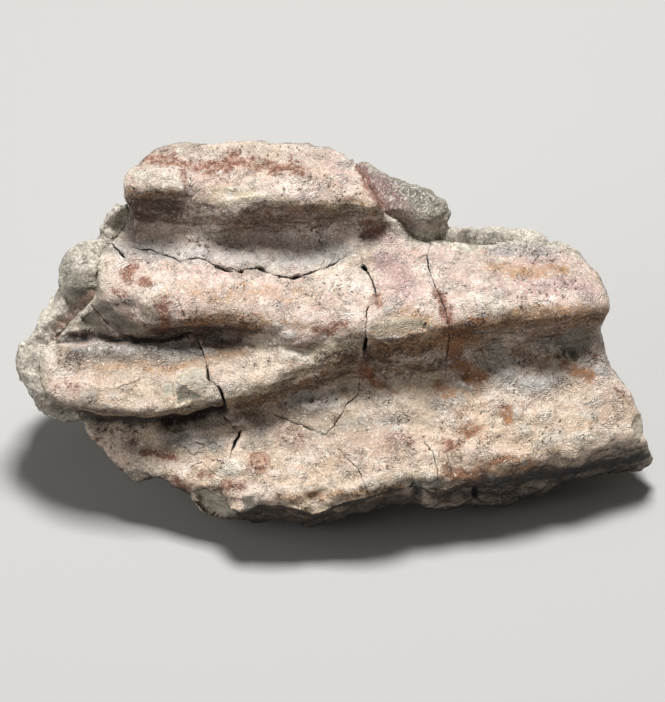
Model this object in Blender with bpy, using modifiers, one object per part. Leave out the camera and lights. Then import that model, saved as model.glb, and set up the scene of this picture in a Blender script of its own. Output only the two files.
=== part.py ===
"""A fossil amphibian scute: a ridged plate of bone that leans back on the lump of rock it was found in.

Everything is measured on the ridged face, in millimetres: "along" runs to the right, "up" runs up the
slope of the face, and "out" stands square off it. The face is then leaned back and set on the ground.
"""

import math

import bmesh
import bpy
import numpy as np
from mathutils import Matrix, Vector, noise

MM = 0.001
FACE_LEAN = math.radians(45)  # slope of the ridged face, from the ground
FACE_LIFT = 25.4  # height of the face's origin above the ground
FACE_SHIFT = (0.0, -5.1)  # sets the middle of the whole specimen over the world's origin
RELIEF = 1.1  # the ridges stand out this much further than their lines say
JOIN_GAP = 0.4  # clearance between the bone and the rock behind it

# The ridges are drawn as lines that run along the face, from its top to its bottom, as (along, up, out).
# A crest is the line that stands out furthest on a ridge, and a trough the deepest one between two ridges.
RIDGE_LINES = {
    "top_edge": [
        (-39, 27.7, -8.0), (-30, 27.0, -6.0), (-25, 27.6, -4.2), (-13, 28.0, -3.6), (1, 27.2, -4.6),
        (16, 26.4, -7.0), (38, 26.2, -9.0),
    ],
    "first_crest": [
        (-33, 20.8, 0.0), (-29, 21.2, 1.2), (-25.5, 21.2, 2.8), (-22.3, 20.8, 2.5), (-19, 19.6, 1.8),
        (-15.5, 18.8, 2.2), (-10.5, 19.5, 2.2), (-5, 19.7, 2.2), (1, 19.2, 1.8), (6, 18.2, 0.8),
        (12, 17.5, -2.0), (38, 16.5, -6.0),
    ],
    "first_trough": [
        (-33, 14.6, -3.0), (-29, 15.2, -3.6), (-25, 15.2, -3.2), (-21, 14.1, -2.8), (-16, 13.8, -3.0),
        (-10.5, 14.6, -3.4), (-5, 14.1, -3.6), (5, 14.2, -3.6), (15, 14.6, -4.4), (38, 15.2, -6.5),
    ],
    "second_crest": [
        (-39, 5.0, -2.0), (-34, 6.2, -1.0), (-30.5, 4.6, 1.0), (-27, 3.2, 2.0), (-22, 3.3, 2.5),
        (-16, 3.5, 2.6), (-11, 3.2, 2.4), (-7, 1.9, 2.4), (-3.5, 1.3, 2.6), (1, 1.0, 2.8), (5.7, 0.6, 3.0),
        (9.2, 1.0, 3.0), (12.8, 2.4, 2.6), (16.3, 3.0, 2.4), (20.6, 3.4, 2.2), (25, 3.8, 1.8),
        (30.5, 3.8, 1.0), (36, 4.1, 0.0), (39, 4.5, -1.0), (46, 5.0, -3.0),
    ],
    "second_trough": [
        (-42, -0.4, -3.0), (-33, -0.3, -3.4), (-27, -0.9, -3.6), (-22, -0.6, -3.4), (-16, -0.6, -2.8),
        (-11, -0.9, -2.0), (-7, -1.4, -0.6), (-3.5, -1.6, 0.6), (1, -1.7, 1.2), (9, -2.1, 0.6),
        (15, -1.0, 0.0), (20.6, -0.4, -0.8), (26, 0.0, -1.4), (32, 0.3, -2.0), (38, 0.7, -3.0), (46, 0.7, -5.0),
    ],
    "third_crest": [
        (-45, -8.1, -4.0), (-42, -8.8, -2.0), (-39, -9.2, -0.2), (-33, -9.6, 1.6), (-28, -10.2, 2.4),
        (-23.5, -9.8, 2.6), (-19, -8.6, 2.5), (-15.5, -8.2, 2.5), (-12, -7.0, 2.3), (-8.5, -5.4, 1.9),
        (-5, -4.2, 1.4), (-2, -3.6, 1.1), (1, -3.6, 0.4), (3.5, -3.8, -0.8), (9, -4.1, -1.2),
        (15, -3.3, -1.8), (20.6, -2.4, -2.4), (26, -1.6, -3.0), (32, -1.1, -3.6), (38, -1.0, -4.4), (46, -1.0, -6.0),
    ],
    "third_trough": [
        (-45, -11.6, -5.0), (-39, -12.6, -4.2), (-33, -13.2, -4.0), (-26, -13.6, -3.8), (-21, -12.9, -3.6),
        (-16, -11.8, -3.4), (-11, -10.9, -3.2), (-6.5, -9.8, -3.2), (-2, -8.6, -3.2), (1.5, -7.6, -3.4),
        (6.5, -7.2, -3.4), (12, -6.5, -3.4), (19, -6.4, -3.6), (22, -5.3, -3.4), (26, -4.1, -3.6),
        (32, -4.1, -4.2), (38, -4.1, -5.0), (46, -5.0, -7.0),
    ],
    "fourth_crest": [
        (-39, -19.2, -4.5), (-33, -17.0, -3.6), (-28, -18.5, -2.5), (-21, -20.3, -0.8), (-16, -22.3, 0.6),
        (-11, -22.7, 1.4), (-5, -22.3, 2.0), (1, -21.7, 2.2), (6.5, -20.7, 2.0), (11, -20.0, 1.8),
        (15, -19.7, 1.4), (20.6, -18.6, 0.6), (26, -17.5, -0.4), (32, -16.2, -1.4), (38, -14.9, -2.8),
        (43, -14.6, -4.6), (47, -14.6, -6.0),
    ],
    "bottom_edge": [
        (-39, -23.4, -9.0), (-33, -20.6, -7.0), (-28, -22.0, -5.5), (-20.5, -24.1, -3.5), (-16, -27.0, -4.0),
        (-9, -26.6, -4.5), (-3.5, -27.3, -5.0), (1.5, -25.8, -4.5), (9, -24.3, -4.0), (15, -24.9, -5.0),
        (20.6, -24.7, -6.0), (30, -23.0, -7.5), (38, -20.3, -8.5), (43, -19.2, -9.5), (47, -18.6, -11.0),
    ],
}

# The broken edge of the bone plate, and that of the rock, as seen square on: (along, up), clockwise.
SCUTE_OUTLINE = [
    (-24.7, 26.8), (-22.0, 27.0), (-19.2, 26.8), (-16.3, 27.1), (-13.5, 27.3), (-10.4, 27.3), (-9.2, 27.0),
    (-5.0, 27.1), (-2.1, 26.7), (0.7, 26.2), (2.1, 25.4), (3.6, 23.5), (5.0, 20.6), (6.4, 18.0), (7.1, 17.0),
    (8.5, 16.0), (10.1, 15.4), (10.8, 14.4), (11.3, 13.1), (15.1, 13.1), (17.5, 12.9), (20.0, 13.1),
    (24.0, 13.3), (29.0, 13.2), (32.6, 12.7), (33.9, 12.1), (34.8, 11.0), (36.2, 9.5), (37.3, 8.1),
    (38.3, 6.4), (38.9, 5.0), (38.9, 3.3), (38.1, 2.1), (37.9, 0.0), (38.3, -2.1), (38.5, -3.6),
    (39.3, -5.3), (40.5, -6.7), (41.9, -8.1), (43.0, -9.8), (43.7, -11.4), (44.0, -12.8), (44.6, -14.9),
    (45.9, -17.3), (44.4, -19.2), (39.0, -19.4), (34.8, -20.9), (32.0, -21.6), (29.8, -22.7),
    (26.3, -23.4), (23.4, -24.1), (19.2, -24.3), (14.9, -24.4), (12.1, -23.7), (9.2, -23.9), (6.4, -24.3),
    (3.6, -25.0), (-0.7, -26.3), (-3.3, -26.8), (-5.0, -26.0), (-7.8, -25.6), (-10.7, -26.0),
    (-13.5, -26.4), (-16.0, -26.7), (-17.8, -25.8), (-19.2, -25.3), (-19.9, -24.4), (-20.6, -23.0),
    (-21.7, -22.0), (-22.7, -20.9), (-24.1, -20.4), (-25.7, -20.2), (-27.0, -20.7), (-28.1, -21.0),
    (-29.0, -20.6), (-29.8, -19.2), (-31.0, -18.3), (-32.2, -17.6), (-32.9, -16.6), (-33.5, -15.3),
    (-34.8, -14.3), (-35.9, -13.1), (-36.5, -12.2), (-37.5, -10.8), (-39.2, -9.7), (-40.8, -8.4),
    (-41.8, -6.8), (-42.3, -4.6), (-42.1, -2.6), (-41.0, -1.0), (-39.0, 0.4), (-37.2, 2.2), (-35.4, 4.1),
    (-33.9, 6.4), (-33.8, 8.5), (-33.6, 10.6), (-32.7, 12.9), (-31.0, 14.5), (-29.8, 15.8), (-29.9, 18.7),
    (-29.6, 20.6), (-29.0, 22.4), (-28.2, 24.1), (-27.0, 24.9), (-25.6, 25.9),
]
ROCK_OUTLINE = [
    (-24.0, 25.2), (-16.0, 25.8), (-6.0, 25.8), (2.8, 25.2), (3.8, 24.9), (4.4, 23.8), (6.1, 22.9),
    (7.8, 22.3), (9.2, 21.9), (10.7, 21.0), (12.1, 20.9), (13.5, 20.2), (14.5, 18.9), (15.5, 18.7),
    (15.9, 17.3), (15.2, 16.2), (15.1, 14.6), (16.3, 14.1), (17.8, 14.6), (19.2, 14.8), (20.6, 14.2),
    (21.3, 14.8), (23.4, 14.9), (24.9, 14.6), (27.7, 14.6), (29.8, 14.2), (32.0, 14.1), (33.1, 13.6),
    (34.0, 11.0), (35.5, 6.0), (35.5, 0.0), (38.5, -6.0), (41.0, -12.0), (40.0, -17.0), (30.0, -20.0),
    (15.0, -22.0), (0.0, -23.5), (-14.0, -24.0), (-19.0, -21.5), (-27.0, -18.0), (-32.0, -14.5),
    (-35.5, -11.8), (-39.0, -11.9), (-41.4, -11.5), (-42.9, -10.7), (-43.9, -9.6), (-44.4, -7.9),
    (-44.7, -6.1), (-45.0, -3.8), (-44.7, -2.1), (-43.7, -1.0), (-42.2, 0.7), (-40.9, 2.8), (-39.8, 4.5),
    (-38.8, 6.0), (-38.5, 6.8), (-38.9, 7.8), (-38.9, 9.5), (-38.2, 11.1), (-37.2, 12.4), (-35.9, 13.3),
    (-34.5, 14.6), (-33.1, 16.5), (-31.7, 18.0), (-30.1, 18.7), (-28.5, 20.5), (-26.5, 23.6),
]

# Round flakes struck off the plate's edges: (along, up, out) of the hollow's centre, and its radius.
FLAKE_SCARS = {
    "second_ridge_end": ((-31.2, -1.6, 5.6), 8.5),
    "second_ridge_scallop": ((-26.8, -3.4, 5.4), 6.9),
    "third_ridge_lip": ((-20.6, -11.8, 8.6), 8.2),
    "lower_left_corner": ((-18.0, -28.0, 4.6), 8.2),
    "lower_edge_notch": ((11.6, -22.8, -1.0), 2.1),
    "right_hand_corner": ((47.4, -13.2, -0.4), 6.9),
}

# Lumps of rock that stand up beside the bone: (along, up), radius, and how far they stand out.
ROCK_LUMPS = {
    "left_knob": ((-36.2, 9.4), 3.9, 3.0),
    "left_shoulder": ((-31.5, 16.2), 3.4, 1.4),
    "left_rim_upper": ((-40.4, 2.6), 3.0, 1.3),
    "left_rim": ((-43.6, -5.2), 3.6, 1.2),
    "left_rim_lower": ((-40.8, -10.8), 3.2, 1.2),
    "upper_block": ((12.0, 17.6), 5.2, 4.4),
    "upper_strip_left": ((18.4, 14.6), 3.2, 2.6),
    "upper_strip_right": ((27.0, 14.8), 6.5, 2.8),
}

PLATE_DEPTH = 7.6  # how far the back of the bone lies behind the middle of its ridges
PLATE_TURN = -0.075  # slope of the bone's back, which sinks to the right as the face does
BACK_WAVE = 0.35  # the share of the ridges' height that the bone's back repeats
EDGE_DRAFT = 0.006  # the broken edges draw in by this share for each millimetre behind the face
SWELL = 0.25  # makes good what the remeshing rounds off
ROCK_DEPTH = 62.0  # room behind the face, before the rock's back is broken off

# The faces that break off the bone and the rock: a point on each in world axes, and the way it faces.
SCUTE_BREAKS = {
    "lower_back": ((0.0, -8.0, 1.4), (0.02, 0.3, -0.95)),
}
ROCK_BREAKS = {
    "back": ((0.0, 24.5, 20.0), (0.05, 1.0, 0.12)),
    "back_left": ((-30.0, 17.0, 18.0), (-0.55, 0.8, 0.05)),
    "back_right": ((33.0, 17.0, 12.0), (0.6, 0.8, 0.1)),
    "back_top": ((0.0, 22.5, 38.0), (-0.1, 0.75, 0.65)),
    "left_foot": ((-38.2, 0.0, 6.0), (-0.85, -0.1, -0.5)),
    "right_foot": ((37.0, 0.0, 4.0), (0.8, -0.1, -0.6)),
    "front_foot": ((0.0, -14.8, 2.0), (0.03, -0.9, -0.45)),
    "below_ground": ((0.0, 0.0, -1.5), (0.0, 0.0, -1.0)),
}

BONE_CELL = 0.9  # size of the cells that the bone is shaped in
ROCK_CELL = 0.9
BONE_TRIANGLES = 5600
ROCK_TRIANGLES = 2600


def monotone_slopes(steps, rises):
    """The slopes of a curve that runs through points with no overshoot, as rows of neighbouring points."""
    grades = rises / steps
    slopes = np.zeros((len(steps) + 1,) + grades.shape[1:])
    same_way = grades[1:] * grades[:-1] > 0
    weight_a = 2 * steps[1:] + steps[:-1]
    weight_b = steps[1:] + 2 * steps[:-1]
    with np.errstate(divide="ignore", invalid="ignore"):
        mean = (weight_a + weight_b) / (weight_a / grades[:-1] + weight_b / grades[1:])
    slopes[1:-1] = np.where(same_way, mean, 0.0)
    slopes[0] = grades[0]
    slopes[-1] = grades[-1]
    return slopes


def hermite(share, step, low, high, low_slope, high_slope):
    """The cubic between two points with those slopes, at a share of the step between them."""
    t2 = share * share
    t3 = t2 * share
    return (
        (2 * t3 - 3 * t2 + 1) * low + (t3 - 2 * t2 + share) * step * low_slope
        + (3 * t2 - 2 * t3) * high + (t3 - t2) * step * high_slope
    )


def curve_through(places, values, at):
    """A smooth curve through the points, held level beyond both ends."""
    places, values = np.array(places, float), np.array(values, float)
    steps = np.diff(places)
    slopes = monotone_slopes(steps, np.diff(values))
    at = np.clip(at, places[0], places[-1])
    i = np.clip(np.searchsorted(places, at) - 1, 0, len(steps) - 1)
    return hermite((at - places[i]) / steps[i], steps[i], values[i], values[i + 1], slopes[i], slopes[i + 1])


def face_height(along, up):
    """How far the ridged face stands out at each point of it."""
    lines = list(RIDGE_LINES.values())[::-1]
    heights = np.array([curve_through([p[0] for p in line], [p[1] for p in line], along) for line in lines])
    outs = np.array([curve_through([p[0] for p in line], [p[2] for p in line], along) for line in lines])
    steps = np.diff(heights, axis=0)
    slopes = monotone_slopes(steps, np.diff(outs, axis=0))
    up = np.clip(up, heights[0], heights[-1])
    i = np.clip((up[None, :] >= heights).sum(axis=0) - 1, 0, len(steps) - 1)
    n = np.arange(len(along))
    share = (up - heights[i, n]) / steps[i, n]
    return RELIEF * hermite(share, steps[i, n], outs[i, n], outs[i + 1, n], slopes[i, n], slopes[i + 1, n])


def bone_back(along, up):
    return PLATE_TURN * along - PLATE_DEPTH + BACK_WAVE * face_height(along, up)


def rock_front(along, up):
    """Halfway into the bone where the bone covers it, with lumps where the rock stands out beside it."""
    front = 0.5 * (face_height(along, up) + bone_back(along, up))
    for (lump_along, lump_up), radius, height in ROCK_LUMPS.values():
        far = np.hypot(along - lump_along, up - lump_up) / radius
        front = front + height * np.exp(-far * far)
    return front


def rock_back(along, up):
    return np.full(len(along), -ROCK_DEPTH)


def object_from(name, bm, collection):
    mesh = bpy.data.meshes.new(name)
    bm.to_mesh(mesh)
    bm.free()
    obj = bpy.data.objects.new(name, mesh)
    collection.objects.link(obj)
    return obj


def make_block(name, cell, front, back, collection):
    """A block under the whole face, with its front and back shaped by the two height functions."""
    low, high = Vector((-47.0, -29.0)), Vector((47.0, 29.5))
    size = high - low
    bm = bmesh.new()
    bmesh.ops.create_grid(bm, x_segments=round(size.x / cell), y_segments=round(size.y / cell), size=0.5)
    fit = Matrix.Translation(((low.x + high.x) / 2, (low.y + high.y) / 2, 0)) @ Matrix.Diagonal((size.x, size.y, 1, 1))
    bmesh.ops.transform(bm, matrix=fit, verts=bm.verts)
    raised = bmesh.ops.extrude_face_region(bm, geom=bm.faces[:])["geom"]
    raised = [part for part in raised if isinstance(part, bmesh.types.BMVert)]
    lifted = set(raised)
    for group, height in ((raised, front), ([v for v in bm.verts if v not in lifted], back)):
        places = np.array([v.co[:2] for v in group])
        for vertex, out in zip(group, height(places[:, 0], places[:, 1])):
            vertex.co.z = out
    bmesh.ops.recalc_face_normals(bm, faces=bm.faces)
    return object_from(name, bm, collection)


def make_outline_cutter(name, outline, collection):
    """A prism on the outline, longer than any block it cuts."""
    curve = bpy.data.curves.new(name, "CURVE")
    curve.dimensions = "2D"
    curve.fill_mode = "BOTH"
    curve.extrude = 0.5
    spline = curve.splines.new("POLY")
    spline.points.add(len(outline) - 1)
    for point, place in zip(spline.points, outline):
        point.co = (*place, 0, 1)
    spline.use_cyclic_u = True
    holder = bpy.data.objects.new(name, curve)
    collection.objects.link(holder)
    flat = bpy.data.meshes.new_from_object(holder.evaluated_get(bpy.context.evaluated_depsgraph_get()))
    bpy.data.objects.remove(holder)
    bm = bmesh.new()
    bm.from_mesh(flat)
    bmesh.ops.remove_doubles(bm, verts=bm.verts, dist=0.001)
    bmesh.ops.scale(bm, vec=(1, 1, 3 * ROCK_DEPTH), verts=bm.verts)
    bmesh.ops.recalc_face_normals(bm, faces=bm.faces)
    return object_from(name, bm, collection)


def make_ball_cutter(name, centre, radius, collection):
    bm = bmesh.new()
    bmesh.ops.create_icosphere(bm, subdivisions=3, radius=radius, matrix=Matrix.Translation(centre))
    return object_from(name, bm, collection)


def apply_modifiers(obj):
    """The object's mesh becomes what its modifiers make of it."""
    made = bpy.data.meshes.new_from_object(obj.evaluated_get(bpy.context.evaluated_depsgraph_get()))
    obj.modifiers.clear()
    obj.data = made


def cut(obj, cutter, operation, solver="EXACT"):
    modifier = obj.modifiers.new(operation, "BOOLEAN")
    modifier.operation = operation
    modifier.solver = solver
    modifier.object = cutter
    apply_modifiers(obj)


def remesh(obj, cell):
    modifier = obj.modifiers.new("even_cells", "REMESH")
    modifier.mode = "VOXEL"
    modifier.voxel_size = cell
    apply_modifiers(obj)


def thin_out(obj, triangles):
    """Fewer triangles, with the small ones kept where the surface bends."""
    obj.data.calc_loop_triangles()
    modifier = obj.modifiers.new("fewer_faces", "DECIMATE")
    modifier.ratio = triangles / len(obj.data.loop_triangles)
    modifier.use_collapse_triangulate = True
    apply_modifiers(obj)


def draw_in_edges(obj):
    """Narrows the plate behind its face, so that its broken edges lean inwards."""
    places = np.array([vertex.co for vertex in obj.data.vertices])
    behind = np.maximum(face_height(places[:, 0], places[:, 1]) - places[:, 2] - 1.0, 0.0)
    for vertex, share in zip(obj.data.vertices, 1 - EDGE_DRAFT * behind):
        vertex.co.x *= share
        vertex.co.y *= share


def roughen(obj, coarse, coarse_size, fine, fine_size, seed):
    """Moves each point along its normal by two grades of noise, as a broken stone is uneven."""
    offset = Vector((seed, -seed, 2 * seed))
    for vertex in obj.data.vertices:
        push = SWELL + coarse * noise.noise(vertex.co / coarse_size + offset)
        push += fine * noise.noise(vertex.co / fine_size - offset)
        vertex.co += push * vertex.normal


def keep_behind(obj, point, facing):
    """Breaks off what lies in front of a plane, and closes the cut."""
    bm = bmesh.new()
    bm.from_mesh(obj.data)
    geometry = bm.verts[:] + bm.edges[:] + bm.faces[:]
    bmesh.ops.bisect_plane(bm, geom=geometry, plane_co=point, plane_no=facing, clear_outer=True)
    rim = [edge for edge in bm.edges if edge.is_boundary]
    filled = bmesh.ops.holes_fill(bm, edges=rim)["faces"]
    bmesh.ops.triangulate(bm, faces=filled)
    bm.to_mesh(obj.data)
    bm.free()


def drop_crumbs(obj):
    """Keeps the largest body of the mesh, where a cut has left a splinter loose."""
    bm = bmesh.new()
    bm.from_mesh(obj.data)
    unseen, bodies = set(bm.verts), []
    while unseen:
        body, edge_of_body = set(), [unseen.pop()]
        while edge_of_body:
            vertex = edge_of_body.pop()
            body.add(vertex)
            near = {edge.other_vert(vertex) for edge in vertex.link_edges} & unseen
            unseen -= near
            edge_of_body.extend(near)
        bodies.append(body)
    largest = max(bodies, key=len)
    bmesh.ops.delete(bm, geom=[v for v in bm.verts if v not in largest], context="VERTS")
    bm.to_mesh(obj.data)
    bm.free()


def leaning():
    """From the face's own axes to the world's, still in millimetres."""
    return Matrix.Translation((0, 0, FACE_LIFT)) @ Matrix.Rotation(FACE_LEAN, 4, "X")


def break_off(obj, breaks):
    """Breaks the object along planes that are given in the world's axes."""
    obj.data.transform(leaning())
    for point, facing in breaks.values():
        keep_behind(obj, point, facing)
    obj.data.transform(leaning().inverted())


def make_material(name, colour, roughness):
    material = bpy.data.materials.new(name)
    material.use_nodes = True
    shader = material.node_tree.nodes["Principled BSDF"]
    shader.inputs["Base Color"].default_value = (*colour, 1)
    shader.inputs["Roughness"].default_value = roughness
    shader.inputs["Metallic"].default_value = 0.0
    return material


def give_material(obj, material):
    """One material all over, in place of any that a cut has brought along."""
    obj.data.materials.clear()
    obj.data.materials.append(material)
    for face in obj.data.polygons:
        face.material_index = 0


def make_scute(collection, cutters):
    scute = make_block("scute", BONE_CELL, face_height, bone_back, collection)
    cut(scute, make_outline_cutter("scute_outline", SCUTE_OUTLINE, cutters), "INTERSECT")
    for name, (centre, radius) in FLAKE_SCARS.items():
        cut(scute, make_ball_cutter(name, centre, radius, cutters), "DIFFERENCE")
    break_off(scute, SCUTE_BREAKS)
    remesh(scute, BONE_CELL)
    draw_in_edges(scute)
    roughen(scute, 0.55, 6.0, 0.3, 2.2, seed=3.1)
    thin_out(scute, BONE_TRIANGLES)
    give_material(scute, make_material("weathered_bone", (0.56, 0.46, 0.38), 0.55))
    return scute


def make_matrix_rock(scute, collection, cutters):
    rock = make_block("matrix", ROCK_CELL, rock_front, rock_back, collection)
    cut(rock, make_outline_cutter("rock_outline", ROCK_OUTLINE, cutters), "INTERSECT")
    break_off(rock, ROCK_BREAKS)
    remesh(rock, ROCK_CELL)
    roughen(rock, 1.3, 9.0, 0.45, 3.0, seed=7.7)
    thin_out(rock, ROCK_TRIANGLES)
    break_off(rock, {"ground": ((0, 0, 0), (0, 0, -1))})
    swollen = object_from("swollen_scute", bmesh.new(), cutters)
    swollen.data = scute.data.copy()
    for vertex, normal in zip(swollen.data.vertices, [n.vector.copy() for n in scute.data.vertex_normals]):
        vertex.co += JOIN_GAP * normal
    cut(rock, swollen, "DIFFERENCE", solver="MANIFOLD")
    drop_crumbs(rock)
    give_material(rock, make_material("grey_matrix", (0.34, 0.33, 0.29), 0.8))
    return rock


def main():
    for obj in list(bpy.data.objects):
        bpy.data.objects.remove(obj)
    specimen = bpy.data.collections.new("fossil_scute")
    cutters = bpy.data.collections.new("cutters")
    for collection in (specimen, cutters):
        bpy.context.scene.collection.children.link(collection)
    scute = make_scute(specimen, cutters)
    rock = make_matrix_rock(scute, specimen, cutters)
    stand = bpy.data.objects.new("face_frame", None)
    specimen.objects.link(stand)
    stand.matrix_world = Matrix.Diagonal((MM, MM, MM, 1)) @ Matrix.Translation((*FACE_SHIFT, 0)) @ leaning()
    for piece in (scute, rock):
        piece.parent = stand
        piece.data.shade_smooth()
    for helper in list(cutters.objects):
        helper.hide_render = True
        helper.display_type = "WIRE"


main()
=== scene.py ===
# Dresses a packed fossil: a ridged plate of bone, and the rock that is joined to its back.
# Lengths are millimetres on the ridged face. Along runs right, up runs up its slope, out stands off it.

import math
import random

import bmesh
import bpy
import numpy as np
from mathutils import Matrix, Vector, noise
from mathutils.bvhtree import BVHTree
from mathutils.kdtree import KDTree


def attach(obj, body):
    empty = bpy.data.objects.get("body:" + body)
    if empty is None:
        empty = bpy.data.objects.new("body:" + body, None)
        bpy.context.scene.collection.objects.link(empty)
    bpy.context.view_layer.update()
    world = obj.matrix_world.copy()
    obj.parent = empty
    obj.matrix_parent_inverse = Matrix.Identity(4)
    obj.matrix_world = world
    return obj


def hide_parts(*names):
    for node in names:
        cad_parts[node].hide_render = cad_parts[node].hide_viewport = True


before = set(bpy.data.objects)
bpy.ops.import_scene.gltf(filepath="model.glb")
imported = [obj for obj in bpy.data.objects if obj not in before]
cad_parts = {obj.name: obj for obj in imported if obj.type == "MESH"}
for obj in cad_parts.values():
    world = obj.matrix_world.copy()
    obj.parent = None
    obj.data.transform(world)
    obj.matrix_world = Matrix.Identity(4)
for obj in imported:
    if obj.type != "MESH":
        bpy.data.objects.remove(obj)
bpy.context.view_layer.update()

face = {
    "lean": math.radians(45),  # slope of the ridged face
    "place": (0, -5.1, 25.4),  # its origin, from the middle of the specimen's foot
    "metres": 0.001,
    "ragged": (0.5, 2.4, 5.0),  # how far the strokes stray from their routes, the size of a bend, seed
    "noiseSeed": 5,
}
noise.seed_set(face["noiseSeed"])  # noise_vector would draw from the clock without it


def faceMatrix():
    # from the face's millimetres to the world's metres
    small = Matrix.Diagonal((face["metres"],) * 3 + (1,))
    return small @ Matrix.Translation(face["place"]) @ Matrix.Rotation(face["lean"], 4, "X")


def applyModifiers(piece):
    made = bpy.data.meshes.new_from_object(piece.evaluated_get(bpy.context.evaluated_depsgraph_get()))
    piece.modifiers.clear()
    piece.data = made


def workingCopy(nodeName, name, cell, smoothRounds):
    # an evenly meshed copy of a node, in the face's millimetres
    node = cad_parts[nodeName]
    bm = bmesh.new()
    bm.from_mesh(node.data)
    bmesh.ops.remove_doubles(bm, verts=bm.verts, dist=1e-6)
    bmesh.ops.transform(bm, matrix=faceMatrix().inverted() @ node.matrix_world, verts=bm.verts)
    mesh = bpy.data.meshes.new(name)
    bm.to_mesh(mesh)
    bm.free()
    piece = bpy.data.objects.new(name, mesh)
    bpy.context.collection.objects.link(piece)
    even = piece.modifiers.new("evenCells", "REMESH")
    even.mode = "VOXEL"
    even.voxel_size = cell
    applyModifiers(piece)
    relax(piece, smoothRounds)
    return piece


def distanceTo(nodeName, points):
    # from each point to a node's surface
    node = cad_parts[nodeName]
    turn = faceMatrix().inverted() @ node.matrix_world
    corners = [turn @ vertex.co for vertex in node.data.vertices]
    tree = BVHTree.FromPolygons(corners, [part.vertices for part in node.data.polygons])
    return np.array([tree.find_nearest(point)[3] for point in points.tolist()])


def relax(piece, rounds):
    everyAxis = {"use_axis_x": True, "use_axis_y": True, "use_axis_z": True}
    bm = bmesh.new()
    bm.from_mesh(piece.data)
    for _ in range(rounds):
        bmesh.ops.smooth_vert(bm, verts=bm.verts, factor=0.5, **everyAxis)
    bm.to_mesh(piece.data)
    bm.free()


def refine(piece, wanted):
    # halves the edges of the faces that wanted() picks by their middles and normals
    mesh = piece.data
    middles = np.empty(len(mesh.polygons) * 3)
    normals = np.empty(len(mesh.polygons) * 3)
    mesh.polygons.foreach_get("center", middles)
    mesh.polygons.foreach_get("normal", normals)
    picked = wanted(middles.reshape(-1, 3), normals.reshape(-1, 3))
    bm = bmesh.new()
    bm.from_mesh(mesh)
    bm.faces.ensure_lookup_table()
    edges = {edge for i in np.nonzero(picked)[0] for edge in bm.faces[i].edges}
    bmesh.ops.subdivide_edges(bm, edges=list(edges), cuts=1, use_grid_fill=True)
    bm.to_mesh(mesh)
    bm.free()


def readPoints(mesh):
    points = np.empty(len(mesh.vertices) * 3)
    mesh.vertices.foreach_get("co", points)
    return points.reshape(-1, 3)


def readNormals(mesh):
    normals = np.empty(len(mesh.vertices) * 3)
    mesh.vertex_normals.foreach_get("vector", normals)
    return normals.reshape(-1, 3)


def writePoints(mesh, points):
    mesh.vertices.foreach_set("co", points.ravel())
    mesh.update()


def paint(mesh, name, values):
    layer = mesh.attributes.new(name, "FLOAT", "POINT")
    layer.data.foreach_set("value", values.astype(np.float32))


def finishPiece(piece, material):
    piece.data.transform(faceMatrix())
    piece.data.materials.clear()
    piece.data.materials.append(material)
    piece.data.shade_smooth()


def fractal(points, size, octaves, seed, stretch=(1, 1, 1)):
    places = points / (size * np.array(stretch)) + seed
    return np.array([noise.fractal(place, 0.8, 2.0, octaves) for place in places.tolist()])


def cellular(points, size, seed):
    # 0 in the middle of a grain, rising to its border
    places = points / size + seed
    return np.array([noise.voronoi(place)[0][0] for place in places.tolist()])


def wander(flat, amount, size, seed):
    # the same places, pushed about so that what is drawn by them has ragged edges
    places = np.column_stack([flat / size, np.full(len(flat), seed)])
    pushes = np.array([noise.noise_vector(place)[:2] for place in places.tolist()])
    return flat + amount * pushes


def routeDistance(flat, route):
    # distance from a route of straight runs, the side of it that a place lies on, and the way come along it
    best = np.full(len(flat), 1e9)
    side = np.ones(len(flat))
    come = np.zeros(len(flat))
    gone = 0.0
    for start, end in zip(np.array(route[:-1]), np.array(route[1:])):
        run = end - start
        length = np.hypot(*run)
        share = np.clip((flat - start) @ run / length**2, 0, 1)
        away = flat - start - share[:, None] * run
        far = np.hypot(*away.T)
        near = far < best
        best[near] = far[near]
        side[near] = np.where(run[0] * away[near, 1] > run[1] * away[near, 0], 1, -1)
        come[near] = gone + share[near] * length
        gone += length
    return best, side, np.minimum(come, gone - come)


def bell(distance, width):
    return np.exp(-((distance / width) ** 2))


def ramp(values, low, high):
    share = np.clip((values - low) / (high - low), 0, 1)
    return share * share * (3 - 2 * share)


def insideShape(flat, corners):
    # how deep inside a closed shape each place lies, negative outside it
    away, _, _ = routeDistance(flat, corners + corners[:1])
    within = np.zeros(len(flat), bool)
    for (x, y), (nextX, nextY) in zip(corners, corners[1:] + corners[:1]):
        crosses = (y > flat[:, 1]) != (nextY > flat[:, 1])
        rise = nextY - y if nextY != y else 1e-9
        within ^= crosses & (flat[:, 0] < (nextX - x) * (flat[:, 1] - y) / rise + x)
    return np.where(within, away, -away)


def nodulesOf(points, size, seed):
    # loose round lumps in some of the cells of a random pattern: 1 in their middles, 0 outside them
    inside = np.zeros(len(points))
    for i, place in enumerate((points / size + seed).tolist()):
        far, centres = noise.voronoi(place)
        if noise.cell(centres[0] * 9.7) > 0.45:
            inside[i] = 1 - far[0] / 0.62
    return ramp(inside, 0, 0.75)


def turned(flat, centre, degrees):
    angle = math.radians(degrees)
    turn = np.array([[math.cos(angle), -math.sin(angle)], [math.sin(angle), math.cos(angle)]])
    return (flat - centre) @ turn


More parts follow.
